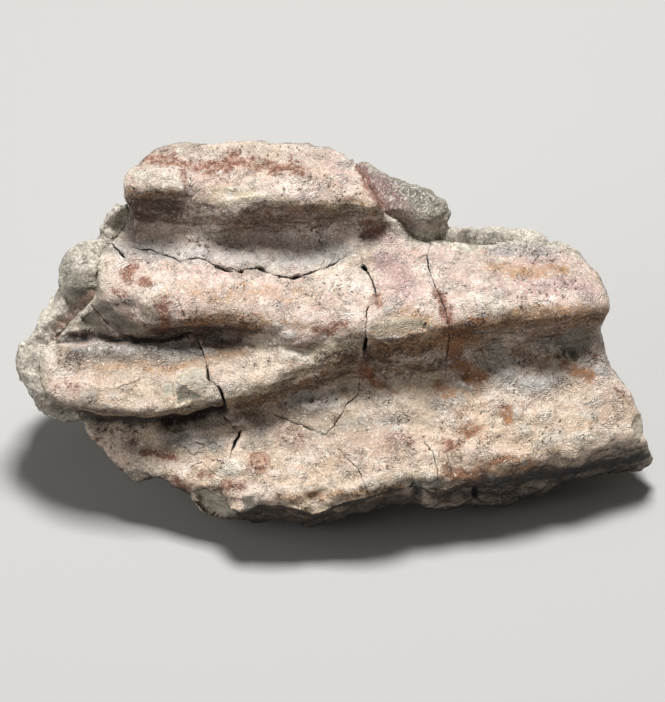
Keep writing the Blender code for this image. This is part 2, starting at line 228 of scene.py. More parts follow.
def reliefOf(points, seen, cell=0.5, reach=3.0):
    # how far each point stands above the face around it
    low = points[:, :2].min(axis=0) - 3 * reach
    size = np.ceil((points[:, :2].max(axis=0) + 3 * reach - low) / cell).astype(int)
    spots = ((points[:, :2] - low) / cell).astype(int)
    total = np.zeros(size)
    count = np.zeros(size)
    np.add.at(total, tuple(spots[seen].T), points[seen, 2])
    np.add.at(count, tuple(spots[seen].T), 1)
    steps = np.arange(-int(2 * reach / cell), int(2 * reach / cell) + 1) * cell
    kernel = np.exp(-((steps / reach) ** 2))
    for axis in (0, 1):
        total = np.apply_along_axis(np.convolve, axis, total, kernel, mode="same")
        count = np.apply_along_axis(np.convolve, axis, count, kernel, mode="same")
    mean = total / np.maximum(count, 1e-6)
    return points[:, 2] - mean[tuple(spots.T)]


# marks that the bone and the rock share: (along, up) routes on the ridged face
cracks = {
    "upperLong": ([(-28.7, 12.5), (-26.1, 12.1), (-24.4, 11.4), (-23.3, 11.2), (-22, 10.4), (-20.9, 10.8),
        (-19.3, 10.9), (-18, 10.2), (-16.3, 9.7), (-14.9, 9.5), (-13.5, 9.2), (-12.6, 9.5), (-11.1, 9.5),
        (-9.9, 9.2), (-8.7, 8.7), (-6.5, 8.4), (-5.4, 8.4), (-3.8, 8.7), (-2, 9.4), (-0.3, 10.1),
        (1.4, 11.2)], 0.10, 0.50),
    "leftShort": ([(-32.7, 13.9), (-31.5, 12.9), (-29.8, 11.1)], 0.14, 0.45),
    "shoulder": ([(-34.6, 4.2), (-33.8, 3.1), (-32.6, 1.6), (-30.9, 0.3)], 0.16, 0.35),
    "boneRockLine": ([(-32.8, 12.1), (-33.7, 10.8), (-33.9, 9.2), (-34.2, 8)], 0.13, 0.30),
    "thirdRidge": ([(-19.6, -0.4), (-19, -1.8), (-18.6, -3.1), (-18.2, -4.8), (-17.8, -6), (-16.8, -7.2),
        (-15.9, -8.5), (-15.8, -9.8)], 0.12, 0.55),
    "thirdRidgeFoot": ([(-16.8, -10.5), (-15.8, -11.6), (-14.9, -12.5), (-14.1, -13.3)], 0.14, 0.40),
    "belowThirdRidge": ([(-13.3, -13.5), (-13.8, -14.5), (-14.1, -15.3), (-14.5, -16.5),
        (-14.8, -17.5)], 0.24, 0.50),
    "thirdRidgeTwig": ([(-20.6, -2.4), (-19.6, -2.8), (-18.6, -3.1)], 0.09, 0.20),
    "centre": ([(3.8, 10.9), (4.1, 9.7), (4.7, 8.8), (5.3, 7.4), (5.7, 6.1), (6, 5)], 0.12, 0.45),
    "centreJog": ([(5.8, 4.8), (4.8, 4.3), (4.5, 3.4), (4.5, 2), (4.4, 0.4), (4.3, -1.1),
        (4.1, -3.3)], 0.11, 0.50),
    "right": ([(13.6, 12.5), (13.1, 11.4), (13.3, 9.5), (13.9, 7.8), (14.5, 6.5), (15.1, 5.1), (15.5, 4),
        (16, 2.3)], 0.11, 0.40),
    "rightTwig": ([(13.1, 11.4), (12.2, 10.8), (11.2, 10.2)], 0.09, 0.20),
    "rightRiser": ([(16, 2.3), (16.2, 0), (16, -2.8), (15.8, -6)], 0.07, 0.25),
    "veeLeft": ([(-8.5, -11.5), (-6.5, -12.2), (-4.5, -12.9), (-1.4, -14.2)], 0.06, 0.30),
    "veeRight": ([(-1.4, -14.2), (-0.6, -13.1), (1, -11.2), (1.6, -9.9), (2.8, -8.9), (3.4, -8.4),
        (3.4, -7.2)], 0.08, 0.35),
    "lowerMiddle": ([(0.6, -16.2), (2.4, -18), (3.3, -18.9), (3.8, -20.4), (4.7, -22.4)], 0.06, 0.25),
    "lipTickA": ([(-22, 4.5), (-21.3, 2.6)], 0.06, 0.25),
    "lipTickB": ([(-19.6, 3.8), (-19.6, 2.1)], 0.05, 0.20),
    "thirdRidgeSliver": ([(-31, -7.2), (-29.8, -6.8), (-28.3, -6.4)], 0.07, 0.30),
    "lowerTickA": ([(15.8, -16.6), (16.2, -17.8), (16.5, -18.9)], 0.06, 0.25),
    "lowerTickB": ([(17.5, -14.5), (17.8, -16.6), (17.9, -18.3)], 0.05, 0.20),
    "paleArc": ([(12.8, -15.2), (13.5, -16), (14.1, -17.2), (14.5, -18.9), (14.5, -20.3)], 0.11, 0.20),
    "rightEdgeLine": ([(35.9, -3.7), (37.1, -3.4), (38.5, -3.8)], 0.11, 0.25),
    "wormA": ([(-21.3, -16.3), (-20.2, -17.2), (-18.9, -16.9), (-17.4, -17.9), (-16, -18)], 0.05, 0.15),
    "wormB": ([(-20.4, -18.7), (-18.9, -18.1), (-17.8, -19.2), (-16.5, -20)], 0.05, 0.15),
    "wormC": ([(-19.8, -15.2), (-18.3, -15.9), (-17.2, -15.3), (-16.1, -16.2)], 0.05, 0.15),
}
gapes = {
    "upperA": ((-15.8, 9.5), 1.4, 0.23, -12),
    "upperB": ((-13.3, 9.2), 0.4, 0.23, 0),
    "upperC": ((-10.5, 9.4), 0.7, 0.24, -8),
    "upperD": ((-5.5, 8.4), 0.9, 0.27, 5),
    "leftEnd": ((-30.2, 11.5), 0.7, 0.21, -45),
    "thirdA": ((-18.0, -5.3), 1.1, 0.23, -75),
    "thirdB": ((-16.0, -8.7), 1.6, 0.27, -72),
    "belowThird": ((-13.8, -14.8), 1.3, 0.22, 70),
    "centreTop": ((4.1, 9.7), 0.5, 0.31, -50),
    "centreLens": ((4.3, -1.8), 1.3, 0.31, 85),
    "lowerSlit": ((20.0, -23.0), 1.3, 0.43, -82),
}
stains = {
    "rust": [
        ([(-26.8, 24.8), (-24.3, 25), (-22.2, 24.1), (-19.7, 23.6), (-17, 23.9), (-14.9, 24.8)], 1.0, 0.78),
        ([(-14.9, 25.4), (-13.6, 25.1), (-11.2, 24.1), (-8.7, 23.7), (-6.5, 24.1), (-4.5, 23.4)], 1.0, 0.78),
        ([(-22.2, 23.7), (-21.6, 22.3), (-21, 20.9)], 0.7, 0.6),
        ([(-28.8, 9.4), (-29.3, 8.5)], 1.1, 0.9),
        ([(-27.3, 7.1), (-26.3, 7.4)], 0.7, 0.9),
        ([(-31, 6.1), (-30, 5.8)], 0.6, 0.6),
        ([(-24.8, 5), (-24.4, 3.5), (-24.1, 1.8)], 0.9, 0.9),
        ([(-26.7, -16.6), (-24.8, -16.6), (-23.1, -17)], 0.7, 0.8),
        ([(-22.6, -20.3), (-21.4, -22)], 0.6, 0.8),
        ([(-15.8, -21.6), (-13.5, -21.3)], 0.9, 0.8),
        ([(-19.5, -19.9), (-18.0, -19.7)], 0.5, 0.7),
        ([(-38.8, -7.5), (-36.9, -7)], 1.1, 0.45),
        ([(-19.9, -1.1), (-17, -1.7), (-13.8, -1.8)], 0.9, 0.5),
        ([(4, -5), (5.3, -6.4)], 1.2, 0.8),
        ([(-2.8, 0.4), (-0.7, 0.8), (1.4, 1.2)], 0.9, 0.75),
        ([(14.3, 6.4), (15.1, 4.7)], 0.6, 0.85),
        ([(15.5, 3.3), (16.6, 0.7)], 0.9, 0.8),
        ([(15.6, -15.3), (17.2, -15.6)], 1.0, 0.7),
        ([(5.8, 5.5), (6.2, 4.5)], 0.6, 0.8),
        ([(9.8, -14.2), (10.5, -14.9)], 0.7, 0.6),
        ([(3.3, 24.1), (4.7, 20.6), (6.2, 18.5), (8.1, 16)], 0.4, 0.8),
        ([(-35.1, 4.5), (-37.1, 2.8), (-39.8, 0.9)], 0.4, 0.8),
        ([(35.5, -2.4), (37.6, -3.3)], 0.4, 0.5),
        ([(40, -7.5), (41.9, -9.9)], 0.4, 0.5),
        ([(-11.4, 3.1), (-13.5, 2.4)], 0.6, 0.5),
        ([(4.4, 14.6), (6.1, 14.9)], 0.9, 0.6),
    ],
    "iron": [
        ([(16.6, -2.1), (18.5, -4.7), (20.6, -6.1)], 1.3, 0.9),
        ([(19.2, 2.4), (22, 2.7)], 0.7, 0.6),
        ([(25.4, -2.4), (27.5, -3.1)], 1.0, 0.8),
        ([(32.4, -4.4), (34.4, -5.3), (36.5, -6.1)], 1.1, 0.85),
        ([(24.3, -10.4), (24.6, -11.8)], 0.8, 0.95),
        ([(17.8, -13.5), (19.2, -14.2), (20.9, -13.1)], 0.6, 0.7),
        ([(24.4, 10.2), (26.6, 9.4)], 0.5, 0.55),
        ([(30.2, 9.6), (32.2, 9.2)], 0.5, 0.5),
        ([(16.3, -19.2), (18.5, -20), (20.6, -19.7)], 1.2, 1.0),
        ([(20.6, -18.2), (24, -17.6), (27.5, -18.1)], 0.7, 0.75),
        ([(16.3, -21.3), (19.2, -21.7)], 0.7, 0.7),
        ([(14.6, -7), (15.8, -8.1), (16.6, -8.9)], 0.9, 0.6),
        ([(25, -17.6), (27.4, -17.2), (29.3, -18)], 0.4, 0.6),
        ([(16.6, 0.7), (19.2, -0.4)], 1.1, 0.8),
        ([(4.6, -5.6), (8.1, -8)], 0.9, 0.7),
    ],
    "ochre": [
        ([(7, -2.6), (13.5, -1.6), (20, -1.0)], 1.4, 0.8),
        ([(5.5, 0.2), (13.5, 1.0), (19, 1.4)], 0.7, 0.75),
        ([(26, 0.6), (33, 0.8)], 0.9, 0.5),
        ([(20, -19.2), (24, -18.9), (28, -18.8)], 0.8, 0.85),
        ([(-33.4, -5.1), (-30.5, -4.5), (-26.6, -4.8), (-24.1, -5.1), (-22, -4.5), (-18.5, -3.7),
            (-14.2, -3.1), (-12.1, -3)], 0.7, 0.62),
        ([(-26.3, -5.3), (-22.6, -5.3)], 0.7, 0.6),
        ([(-23, 6.4), (-15, 5.6), (-9, 6.2)], 1.5, 0.6),
        ([(-22, 2.9), (-16, 3.2), (-10, 2.6)], 0.7, 0.6),
        ([(-7, 7.4), (-4, 5.2), (1, 5.6)], 1.7, 0.42),
        ([(-5, 1.2), (0, 0.6), (3.6, -0.2)], 0.9, 0.6),
        ([(-2, -17.5), (4, -16.5), (8, -18)], 2.2, 0.42),
        ([(18, -10.5), (22, -14.5), (27, -11)], 1.6, 0.4),
        ([(-14.1, 7.4), (-11.6, 7.2)], 0.4, 0.7),
        ([(-8.1, 5.5), (-5.5, 4.4)], 1.0, 0.5),
        ([(-14.9, 3.3), (-10.4, 2.4), (-5, 1.8)], 0.7, 0.5),
        ([(10.6, 3.5), (12.8, 2.4)], 1.0, 0.75),
        ([(22.3, 9.8), (25.6, 8.9), (29.1, 8.8), (32.7, 9.2)], 0.9, 0.85),
        ([(25.4, 3.5), (29.8, 3.7), (34.1, 3.8), (38.2, 3.3)], 0.6, 0.75),
        ([(21.7, -9.2), (26.3, -8.1), (31.9, -7.5)], 1.1, 0.3),
        ([(-5, -19.2), (-0.7, -18), (3.5, -19.2)], 1.7, 0.35),
        ([(-32.7, 7.1), (-33.4, 5)], 0.9, 0.35),
        ([(31.9, -8.5), (37.6, -7.1)], 0.7, 0.4),
        ([(14.9, -7.1), (19.2, -8.5), (22, -7.5)], 0.7, 0.5),
        ([(1.4, -8.5), (6.4, -7.5), (12.1, -7)], 0.9, 0.45),
        ([(-12.1, -24.1), (-2.1, -23.4), (7.8, -22.3)], 0.7, 0.4),
        ([(37.6, -12.1), (31.9, -14.9), (26.3, -16)], 0.9, 0.4),
        ([(8.5, 0.7), (12.1, 1.8)], 0.7, 0.4),
        ([(-31.9, 10.4), (-33.9, 5)], 0.6, 0.3),
    ],
    "violet": [
        ([(7.1, 10.4), (8.9, 9.2), (9.9, 7.1)], 1.8, 1.0),
        ([(6, 7.5), (8.5, 6.1)], 1.1, 0.5),
        ([(-26.3, 25.6), (-19.2, 26)], 1.0, 0.55),
        ([(-5, 25.1), (1.4, 24.1)], 1.3, 0.5),
        ([(19.9, 9.2), (20.6, 7.1), (21.2, 5)], 0.9, 0.5),
        ([(17.8, 12.1), (23.4, 11.8)], 1.4, 0.45),
        ([(15, 10), (24, 9.5), (36, 9)], 3.2, 0.55),
        ([(24.8, 12.8), (30.5, 12.4)], 1.1, 0.35),
        ([(27.7, 6.4), (31.9, 7.1), (36.2, 6.4)], 1.6, 0.75),
        ([(22.2, 10.8), (23.4, 8), (24.6, 5.6)], 0.6, 0.8),
        ([(-9.9, 19.2), (-5, 17.8)], 1.1, 0.3),
        ([(4.3, 15.2), (7.1, 13.5), (9.2, 12.4)], 1.1, 0.7),
        ([(2.1, -14.9), (7.8, -15.6)], 1.7, 0.45),
        ([(-18.5, 2.8), (-22, 5)], 1.1, 0.2),
        ([(-33.4, -14.2), (-29.1, -14.9)], 1.4, 0.5),
        ([(8.5, -14.6), (10.6, -15.6)], 1.3, 0.6),
        ([(-7.1, -13.8), (-5, -14.9)], 1.3, 0.35),
        ([(16.3, -15.2), (19.2, -17)], 1.3, 0.4),
        ([(-39, -7.1), (-35.5, -8.1)], 1.3, 0.35),
        ([(23.4, -13.5), (29.1, -12.8)], 1.4, 0.25),
        ([(-15.6, 26.3), (-9.2, 26.3)], 0.9, 0.3),
        ([(22.7, -4.3), (29.1, -5.7)], 1.4, 0.25),
        ([(35, -9), (40, -9.8)], 2.2, 0.42),
    ],
    "slate": [
        ([(-31.9, 12.8), (-26.3, 12.1), (-19.2, 11.4), (-12.1, 10.9), (-5, 10.4), (1.4, 11.8)], 1.7, 0.75),
        ([(2.1, 10.4), (4.3, 7.8)], 1.3, 0.4),
        ([(-36.5, -2.4), (-30.5, -2.2), (-23.4, -2.4), (-18, -2.6)], 1.3, 0.75),
        ([(-6.4, -9.2), (-2.1, -9.9), (0, -9.2)], 1.7, 0.75),
        ([(-13.5, -12.1), (-10.4, -13.2)], 1.4, 0.5),
        ([(1.4, -12.8), (8.5, -12.1)], 1.3, 0.6),
        ([(22.4, 12.6), (25.6, 12.4), (28.5, 12.0), (31, 12.5)], 1.1, 1.0),
        ([(23.4, -5.3), (27.7, -7.1), (31.9, -6.1)], 2.0, 0.75),
        ([(14.5, -9.8), (16.5, -11.8)], 1.3, 0.6),
        ([(36.2, -4.7), (38.8, -5.5)], 1.0, 0.7),
        ([(7.8, 5.5), (9.2, 4.7)], 1.3, 0.5),
        ([(-23.4, -14.9), (-16.3, -15.6)], 1.7, 0.7),
        ([(-24, -18.3), (-19.5, -17.6)], 1.0, 0.5),
        ([(17, -7.1), (18.9, -7.5)], 1.0, 0.6),
        ([(-11.4, -20.3), (-9.9, -22)], 1.1, 0.4),
        ([(-24.8, 24.1), (-22.7, 26.3)], 0.9, 0.4),
        ([(-12.8, -14.9), (-11.4, -16.3)], 1.1, 0.4),
        ([(20.6, -3.5), (23.4, -5.3)], 1.3, 0.6),
        ([(22.7, -2.5), (25.4, -3.1)], 1.3, 0.8),
        ([(30, -1.2), (33, -2.2)], 1.2, 0.6),
        ([(-26.3, 22), (-24.1, 22.3)], 1.3, 0.4),
        ([(-27.7, -9.2), (-24.8, -8.9)], 1.1, 0.4),
        ([(13.5, 8.5), (17.8, 6.4)], 1.3, 0.3),
        ([(6.4, -17), (9.2, -19.2)], 1.1, 0.25),
    ],
    # dark brown: the risers' own brown, and painted shade in the strokes under the lips and down the lowest
    # riser
    "umber": [
        ([(-28.8, 18.2), (-26.3, 17.9), (-23.1, 18)], 2.1, 0.9),
        ([(-22, 16), (-19.2, 16.9)], 1.1, 0.45),
        ([(-20.6, 18.5), (-13.5, 17.2), (-5, 16.9), (3.5, 17.2)], 1.3, 0.5),
        ([(3.9, 14.0), (5.2, 14.5), (6.8, 15.3)], 0.6, 0.85),
        ([(-26.3, 1.1), (-20.6, 0.7), (-15.6, 1.3), (-10.9, 1.1)], 0.9, 0.8),
        ([(-40.5, -0.1), (-31.9, -0.3), (-26.3, -1), (-20.6, -0.4), (-13.5, -0.9)], 0.4, 0.9),
        ([(-39, -11.8), (-31.9, -12.2), (-26.3, -12.4), (-19.9, -12.1), (-15.8, -10.9)], 0.6, 0.95),
        ([(-13.5, -9.9), (-9.2, -8.8), (-5, -7.1), (-0.7, -6.1), (2.1, -5)], 0.9, 0.6),
        ([(5.7, -3.8), (9.2, -2.1), (13.5, -0.7), (19.2, 0)], 1.7, 0.7),
        ([(4.8, -3.8), (8, -2.9), (13, -1.9)], 0.9, 0.95),
        ([(-2.4, -3.5), (0, -3.3), (2.6, -3.2)], 1.1, 0.9),
        ([(17.8, 1.4), (23.4, 1), (29.1, 1.4), (36.2, 1.8)], 1.0, 0.3),
        ([(9.2, -5.7), (13.5, -4.7), (18.5, -3.8)], 0.9, 0.6),
        ([(21.3, -6.4), (20, -7), (18.6, -6.4)], 0.6, 0.7),
        ([(29.1, -1.4), (31.9, -3.5), (37.6, -3.8)], 0.7, 0.5),
        ([(23.4, -20.3), (29.1, -19.7), (36.2, -18.9), (43.3, -17.5)], 0.9, 0.8),
        ([(14.9, -22.3), (20.6, -23.1), (29.1, -22.3)], 0.7, 0.6),
        ([(-39, -2.4), (-36.9, -3.5)], 1.4, 0.5),
        ([(-32.7, -13.5), (-29.1, -14.6)], 1.4, 0.35),
        ([(10.6, -20.9), (11.5, -22)], 0.6, 0.9),
        ([(36.2, 0.7), (38.2, -1.4)], 0.7, 0.5),
    ],
    "earth": [
        ([(-12.5, -10.1), (-6.4, -7.9), (-0.7, -4.6), (1.4, -2.6)], 1.0, 0.6),
        ([(-9, -6.6), (-3.5, -4.2), (0.4, -2.2)], 1.2, 0.25),
        ([(15.6, 0.6), (20.6, 1.8), (26.3, 2.7), (32, 3.0), (37.6, 2.4)], 0.9, 1.0),
        ([(6, -2.2), (10, -1.2), (15.6, -0.4)], 1.2, 0.8),
        ([(-22, 2.0), (-14.9, 2.5), (-9.2, 1.6)], 0.6, 0.8),
        ([(-5, 18.4), (2.1, 19.0), (5.7, 18.2)], 0.8, 0.6),
        ([(-8, -23.2), (0, -22.8), (9.2, -21.7)], 0.8, 0.7),
        ([(-29, 20.3), (-26, 20.1), (-22.5, 20.5)], 0.6, 0.7),
        ([(17, -4), (22, -3.2), (30, -3.6)], 1.6, 0.5),
    ],
    "dusk": [
        ([(-37, -4.6), (-30, -5.6)], 1.3, 0.5),
        ([(-4, -1.2), (1, -2.6)], 1.4, 0.6),
        ([(-22, 24), (-8, 22.5), (4, 21)], 2.0, 0.25),
        ([(-11.5, -15.2), (-9.6, -15.6)], 1.6, 0.7),
        ([(-8, -13.6), (-4, -15.2)], 1.9, 0.55),
        ([(-24, 26.2), (-8, 26.0), (2, 24.6)], 1.2, 0.5),
        ([(18, 9.5), (28, 7), (36, 7)], 3.2, 0.34),
        ([(-36, -8.6), (-26, -8), (-16, -6)], 2.2, 0.42),
        # painted shade where the third ridge's lip turns down
        ([(-40, -9.4), (-34, -10.7), (-27, -11.3), (-20, -10.8), (-16.5, -9.9)], 0.8, 0.8),
        ([(0, -16.5), (8, -12), (14, -10.5)], 2.8, 0.5),
        ([(-22, -14), (-15, -13)], 2.0, 0.5),
        ([(-38, -3.2), (-31, -3.0), (-23, -3.4), (-15, -2.8)], 1.7, 0.85),
        ([(-12, -11.5), (-5, -12.5), (2, -13)], 2.4, 0.6),
        ([(-24, -15), (-17, -15.5)], 2.4, 0.5),
        ([(-31, -15), (-27, -16)], 2.2, 0.5),
        ([(-20, 26.4), (-10, 26.6)], 0.8, 0.45),
        ([(-26, 13.6), (-14, 13), (-2, 12.8)], 1.4, 0.5),
        ([(-10.5, -0.5), (-5, -1)], 1.2, 0.4),
        ([(24, 2.6), (31, 2.6), (38, 2.8)], 0.7, 0.5),
        ([(-30, 8.6), (-27.5, 6.5)], 1.4, 0.25),
    ],
    # painted shade: near-black strokes under the overhanging lips, down the lowest risers and in the deep
    # notch
    "paintedShade": [
        ([(21, -20.6), (27, -20.4), (35, -19.2), (43.5, -17.6)], 1.1, 0.85),
        ([(14.9, -22.8), (24, -23.2), (34, -21.2), (42.5, -19)], 1.3, 0.7),
        ([(-39.5, -12), (-32, -12.5), (-26.3, -12.6), (-19.9, -12.2), (-16, -11)], 0.35, 0.8),
        ([(-40, -0.3), (-33, -0.4), (-27, -0.9), (-22, -0.6)], 0.35, 0.8),
        ([(11.0, -21.3), (11.5, -22.4)], 0.4, 1.0),
        ([(-10.6, -24.0), (-9.4, -24.2)], 0.5, 0.6),
        ([(16.5, 0.6), (18.5, -0.4)], 0.8, 0.2),
        ([(4.6, -3.9), (8, -2.8), (13, -1.7)], 0.7, 0.35),
    ],
    "olive": [
        ([(-19.9, 19.3), (-15.6, 18.7), (-10.6, 19.6), (-5, 18.6), (2.1, 18), (6.4, 17.5)], 0.7, 0.6),
        ([(-17, 20.6), (-12.8, 19.9)], 1.0, 0.8),
        ([(5.7, 0.7), (9.2, 1.3), (12.8, 1.8)], 1.1, 0.8),
        ([(-3.1, -2.8), (0, -2), (3, -1.8)], 1.1, 0.7),
        ([(-14.9, 2.4), (-9.2, 2.1), (-3.5, 1.4)], 0.6, 0.5),
        ([(-36.2, -10.6), (-29.1, -11.2), (-22, -10.6), (-16.3, -10.1)], 0.7, 0.55),
        ([(-13.5, -8.9), (-9.2, -7.5), (-5, -5.3), (-0.7, -3.8)], 0.9, 0.6),
        ([(-6.4, -23.7), (0.7, -23.1), (8.5, -22)], 0.7, 0.5),
        ([(22, -18.9), (25, -18.6)], 0.9, 0.5),
        ([(31.9, -16.0), (37.6, -14.6), (41.6, -13.4)], 0.8, 0.35),
        ([(17, 2.8), (23.4, 3.8)], 0.6, 0.4),
        ([(2.1, -6.1), (5.3, -4.4)], 0.9, 0.5),
        ([(-41.9, -8.5), (-37.6, -10.4)], 1.0, 0.35),
        ([(12.1, -20.6), (15.6, -21.2)], 0.6, 0.5),
    ],
    "pale": [
        # painted highlight along the lowest tread's right lip
        ([(29, -15.6), (37.6, -14.2), (42, -13)], 0.8, 0.7),
        ([(-18, -21), (-6, -21.8), (6, -21)], 0.9, 0.5),
        ([(-27.7, 22), (-23.7, 22.3)], 1.1, 0.4),
        ([(-22.3, 26), (-21.4, 26.3)], 0.5, 0.9),
        ([(-30.5, 9.9), (-26.3, 8.5), (-19.2, 7.1)], 1.3, 0.4),
        # partly a pale patch, partly painted light where the second ridge's lip meets the tread below
        ([(-9.5, -1.1), (-6.5, -2.2), (-4.2, -3.2)], 1.1, 0.7),
        ([(19.2, 5.7), (24.1, 5)], 1.1, 0.5),
        ([(23.4, -2.2), (27, -2.9), (32, -4)], 1.3, 0.45),
        ([(16, -9.6), (18, -10.2)], 0.9, 0.5),
        ([(8.5, -12.9), (9.5, -13.2)], 0.9, 0.7),
        ([(31.9, -9.9), (36.2, -9.2)], 1.3, 0.5),
        ([(-16.2, -19.6), (-15.0, -19.0), (-13.8, -18.7)], 0.9, 1.0),
        ([(-28.4, -19.5), (-25.6, -19.2)], 1.3, 0.5),
        ([(-13.5, -17), (-15.2, -18)], 0.7, 0.4),
        ([(28.4, 11.8), (27.5, 12.5)], 0.6, 0.6),
        ([(26.3, -12.1), (29.1, -13.5)], 1.0, 0.5),
        ([(13.5, -16.3), (14.3, -18)], 0.7, 0.7),
        ([(31.9, 6.1), (37.1, 5.7)], 0.6, 0.4),
        ([(6.4, 4.3), (9.2, 6.4)], 0.9, 0.4),
        ([(36.9, -8.1), (39, -6.8)], 0.6, 0.6),
        ([(-16.3, -6.4), (-12.1, -5)], 0.9, 0.5),
        ([(17, -12.1), (19.2, -11.4)], 1.0, 0.5),
        ([(21, -12.5), (30, -10.5), (38, -9)], 2.4, 0.4),
    ],
}
# thin light lines along lips, rims and ridges: partly pale edges, partly painted highlights
lightLines = {
    "firstLipA": [(-17.9, 18.3), (-16.6, 18.2), (-15.3, 18.7), (-13.5, 18.9), (-12.6, 19.5), (-11.4, 20.7)],
    "firstLipB": [(-16.2, 19.5), (-14.6, 19.5), (-13.1, 19.6)],
    "secondLipA": [(6, -0.7), (7.5, -0.9), (9.7, -0.4), (11.9, 0.3), (13.1, 0.7)],
    "secondLipB": [(6.4, -1.4), (8.5, -1.4), (10.4, -0.9)],
    "swirlA": [(-3, -4.4), (-1.6, -2.4), (0.1, -1.4), (1.7, -1.3), (3.1, -1.8)],
    "swirlB": [(-1.8, -3.3), (-0.1, -2.3), (1.4, -2.1)],
    "thirdLip": [(-26.3, -10.6), (-24.1, -10.8), (-22.3, -10.1), (-20.6, -9.5), (-18.5, -9.4),
        (-16.8, -10.1)],
    "thirdLipB": [(-29.4, -8.7), (-27.7, -9.9), (-26.3, -10.6)],
    "facetEdge": [(-23.1, -6.2), (-22.9, -7.6), (-22.4, -9.8)],
    "facetRidge": [(-22.9, -6.1), (-21.2, -7.2), (-18.6, -8.8)],
    "cornerRim": [(-20.3, -22.6), (-18.2, -22.2), (-15.2, -23.4), (-14.3, -25.1)],
    "notchRimA": [(11.1, -23), (13.5, -22.2), (16.6, -21.6)],
    "notchRimB": [(12.1, -21.4), (14.9, -21.7), (17.6, -21.2)],
    "arcsA": [(21.6, -1.7), (22.9, -1.1), (23.7, -2), (25.4, -2), (26.3, -0.9)],
    "arcsB": [(22, -3.8), (23.4, -4.4), (24.6, -3.7)],
    "rightLip": [(42.2, -12.8), (43.3, -11.5), (43.9, -12.1)],
    "rightSeam": [(36.2, -8.2), (37.6, -7), (39.3, -6.4)],
    "skinEdge": [(-33.7, 6.1), (-32.7, 5), (-31.1, 3.5), (-29.5, 2.8), (-28.3, 1.8), (-26.8, 1.1)],
}
rings = {  # growth rings: centre, radius, spacing, how strongly they are stained
    "lowerRing": ((-10.9, -18.2), 1.6, 0.7, 1.0),
    "swirlRing": ((-6.4, -14.6), 2.2, 0.62, 0.3),
    "darkSwirl": ((8.1, -15.2), 1.4, 0.50, 0.35),
    "rightRing": ((21.4, -14.9), 0.9, 0.43, 0.45),
    "farRing": ((17.9, -10.9), 1.3, 0.47, 0.4),
    "orangeRing": ((19.2, -13.2), 1.1, 0.43, 0.6),
}
pearls = {  # smooth pale nodules: centre, radii, height
    "lowerA": ((8.8, -12.8), (0.8, 0.7), 0.25),
    "lowerB": ((17.5, -9.7), (1.5, 1.2), 0.4),
    "lowerC": ((18.9, -11.9), (1.0, 0.9), 0.3),
    "lowerD": ((27.0, -13.5), (1.2, 0.9), 0.25),
    "lowerE": ((28.4, -15.5), (0.9, 0.7), 0.25),
    "lowerF": ((36.6, -11.5), (1.8, 1.0), 0.25),
    "lowerG": ((28.8, -7.2), (3.0, 1.5), 0.3),
    "lowerH": ((18.7, -7.2), (1.6, 0.7), 0.45),
    "lowerI": ((24.4, -5.5), (1.2, 0.6), 0.4),
    "lowerJ": ((38.2, -5.1), (1.2, 0.8), 0.3),
    "notch": ((13.3, -20.0), (1.4, 0.8), 0.2),
    "crystals": ((-14.6, -19.2), (1.2, 0.9), 0.25),
    "lowerLeft": ((-28.9, -19.5), (1.2, 0.9), 0.25),
    "thirdA": ((-34.8, -8.6), (1.3, 0.8), 0.25),
    "thirdB": ((-31.2, -8.6), (1.2, 0.7), 0.2),
    "thirdC": ((-6.7, -2.9), (1.5, 1.0), 0.3),
    "thirdD": ((-6.2, 0.5), (1.2, 0.6), 0.3),
    "firstA": ((-22.0, 26.4), (0.9, 0.5), 0.2),
    "firstB": ((-27.1, 22.4), (1.6, 0.9), 0.2),
    "firstC": ((-13.5, 20.9), (1.5, 0.6), 0.15),
    "secondA": ((26.0, 12.8), (2.0, 0.8), 0.2),
    "secondB": ((23.3, 6.1), (1.5, 0.8), 0.2),
    "secondC": ((7.7, 3.7), (1.2, 0.8), 0.25),
}
pitted = {  # centre, half width, half height, how many
    "thirdRidgeEnd": ((-38.1, -3.1), 1.8, 1.3, 26),
    "lowerLeft": ((-30.8, -14.3), 3.4, 1.9, 60),
    "lowerTrough": ((-1.8, -9.8), 2.6, 1.4, 22),
    "swirl": ((-6.1, -14.6), 1.4, 1.0, 12),
    "upperRight": ((29.1, 12.1), 4.0, 1.1, 26),
    "firstTread": ((-2.1, 20.6), 6.4, 2.0, 34),
    "trough": ((-21.3, 12.6), 8.5, 1.1, 26),
    "secondTread": ((-5.0, 6.4), 9.9, 2.8, 36),
    "farTread": ((29.1, 6.4), 6.4, 2.0, 34),
    "lowerTread": ((20.6, -13.5), 12.8, 4.3, 60),
    "firstTop": ((-10.6, 26.3), 8.5, 0.9, 26),
    "leftTread": ((-27.7, -2.1), 6.4, 1.0, 26),
    "riserRight": ((10.6, -2.1), 5.7, 1.3, 26),
}


def strokes(flat, marks):
    # the strongest of several soft strokes: each is a route, its half width and its strength
    strength = np.zeros(len(flat))
    for route, width, power in marks:
        strength = np.maximum(strength, power * bell(routeDistance(flat, route)[0], 1.25 * width))
    return strength


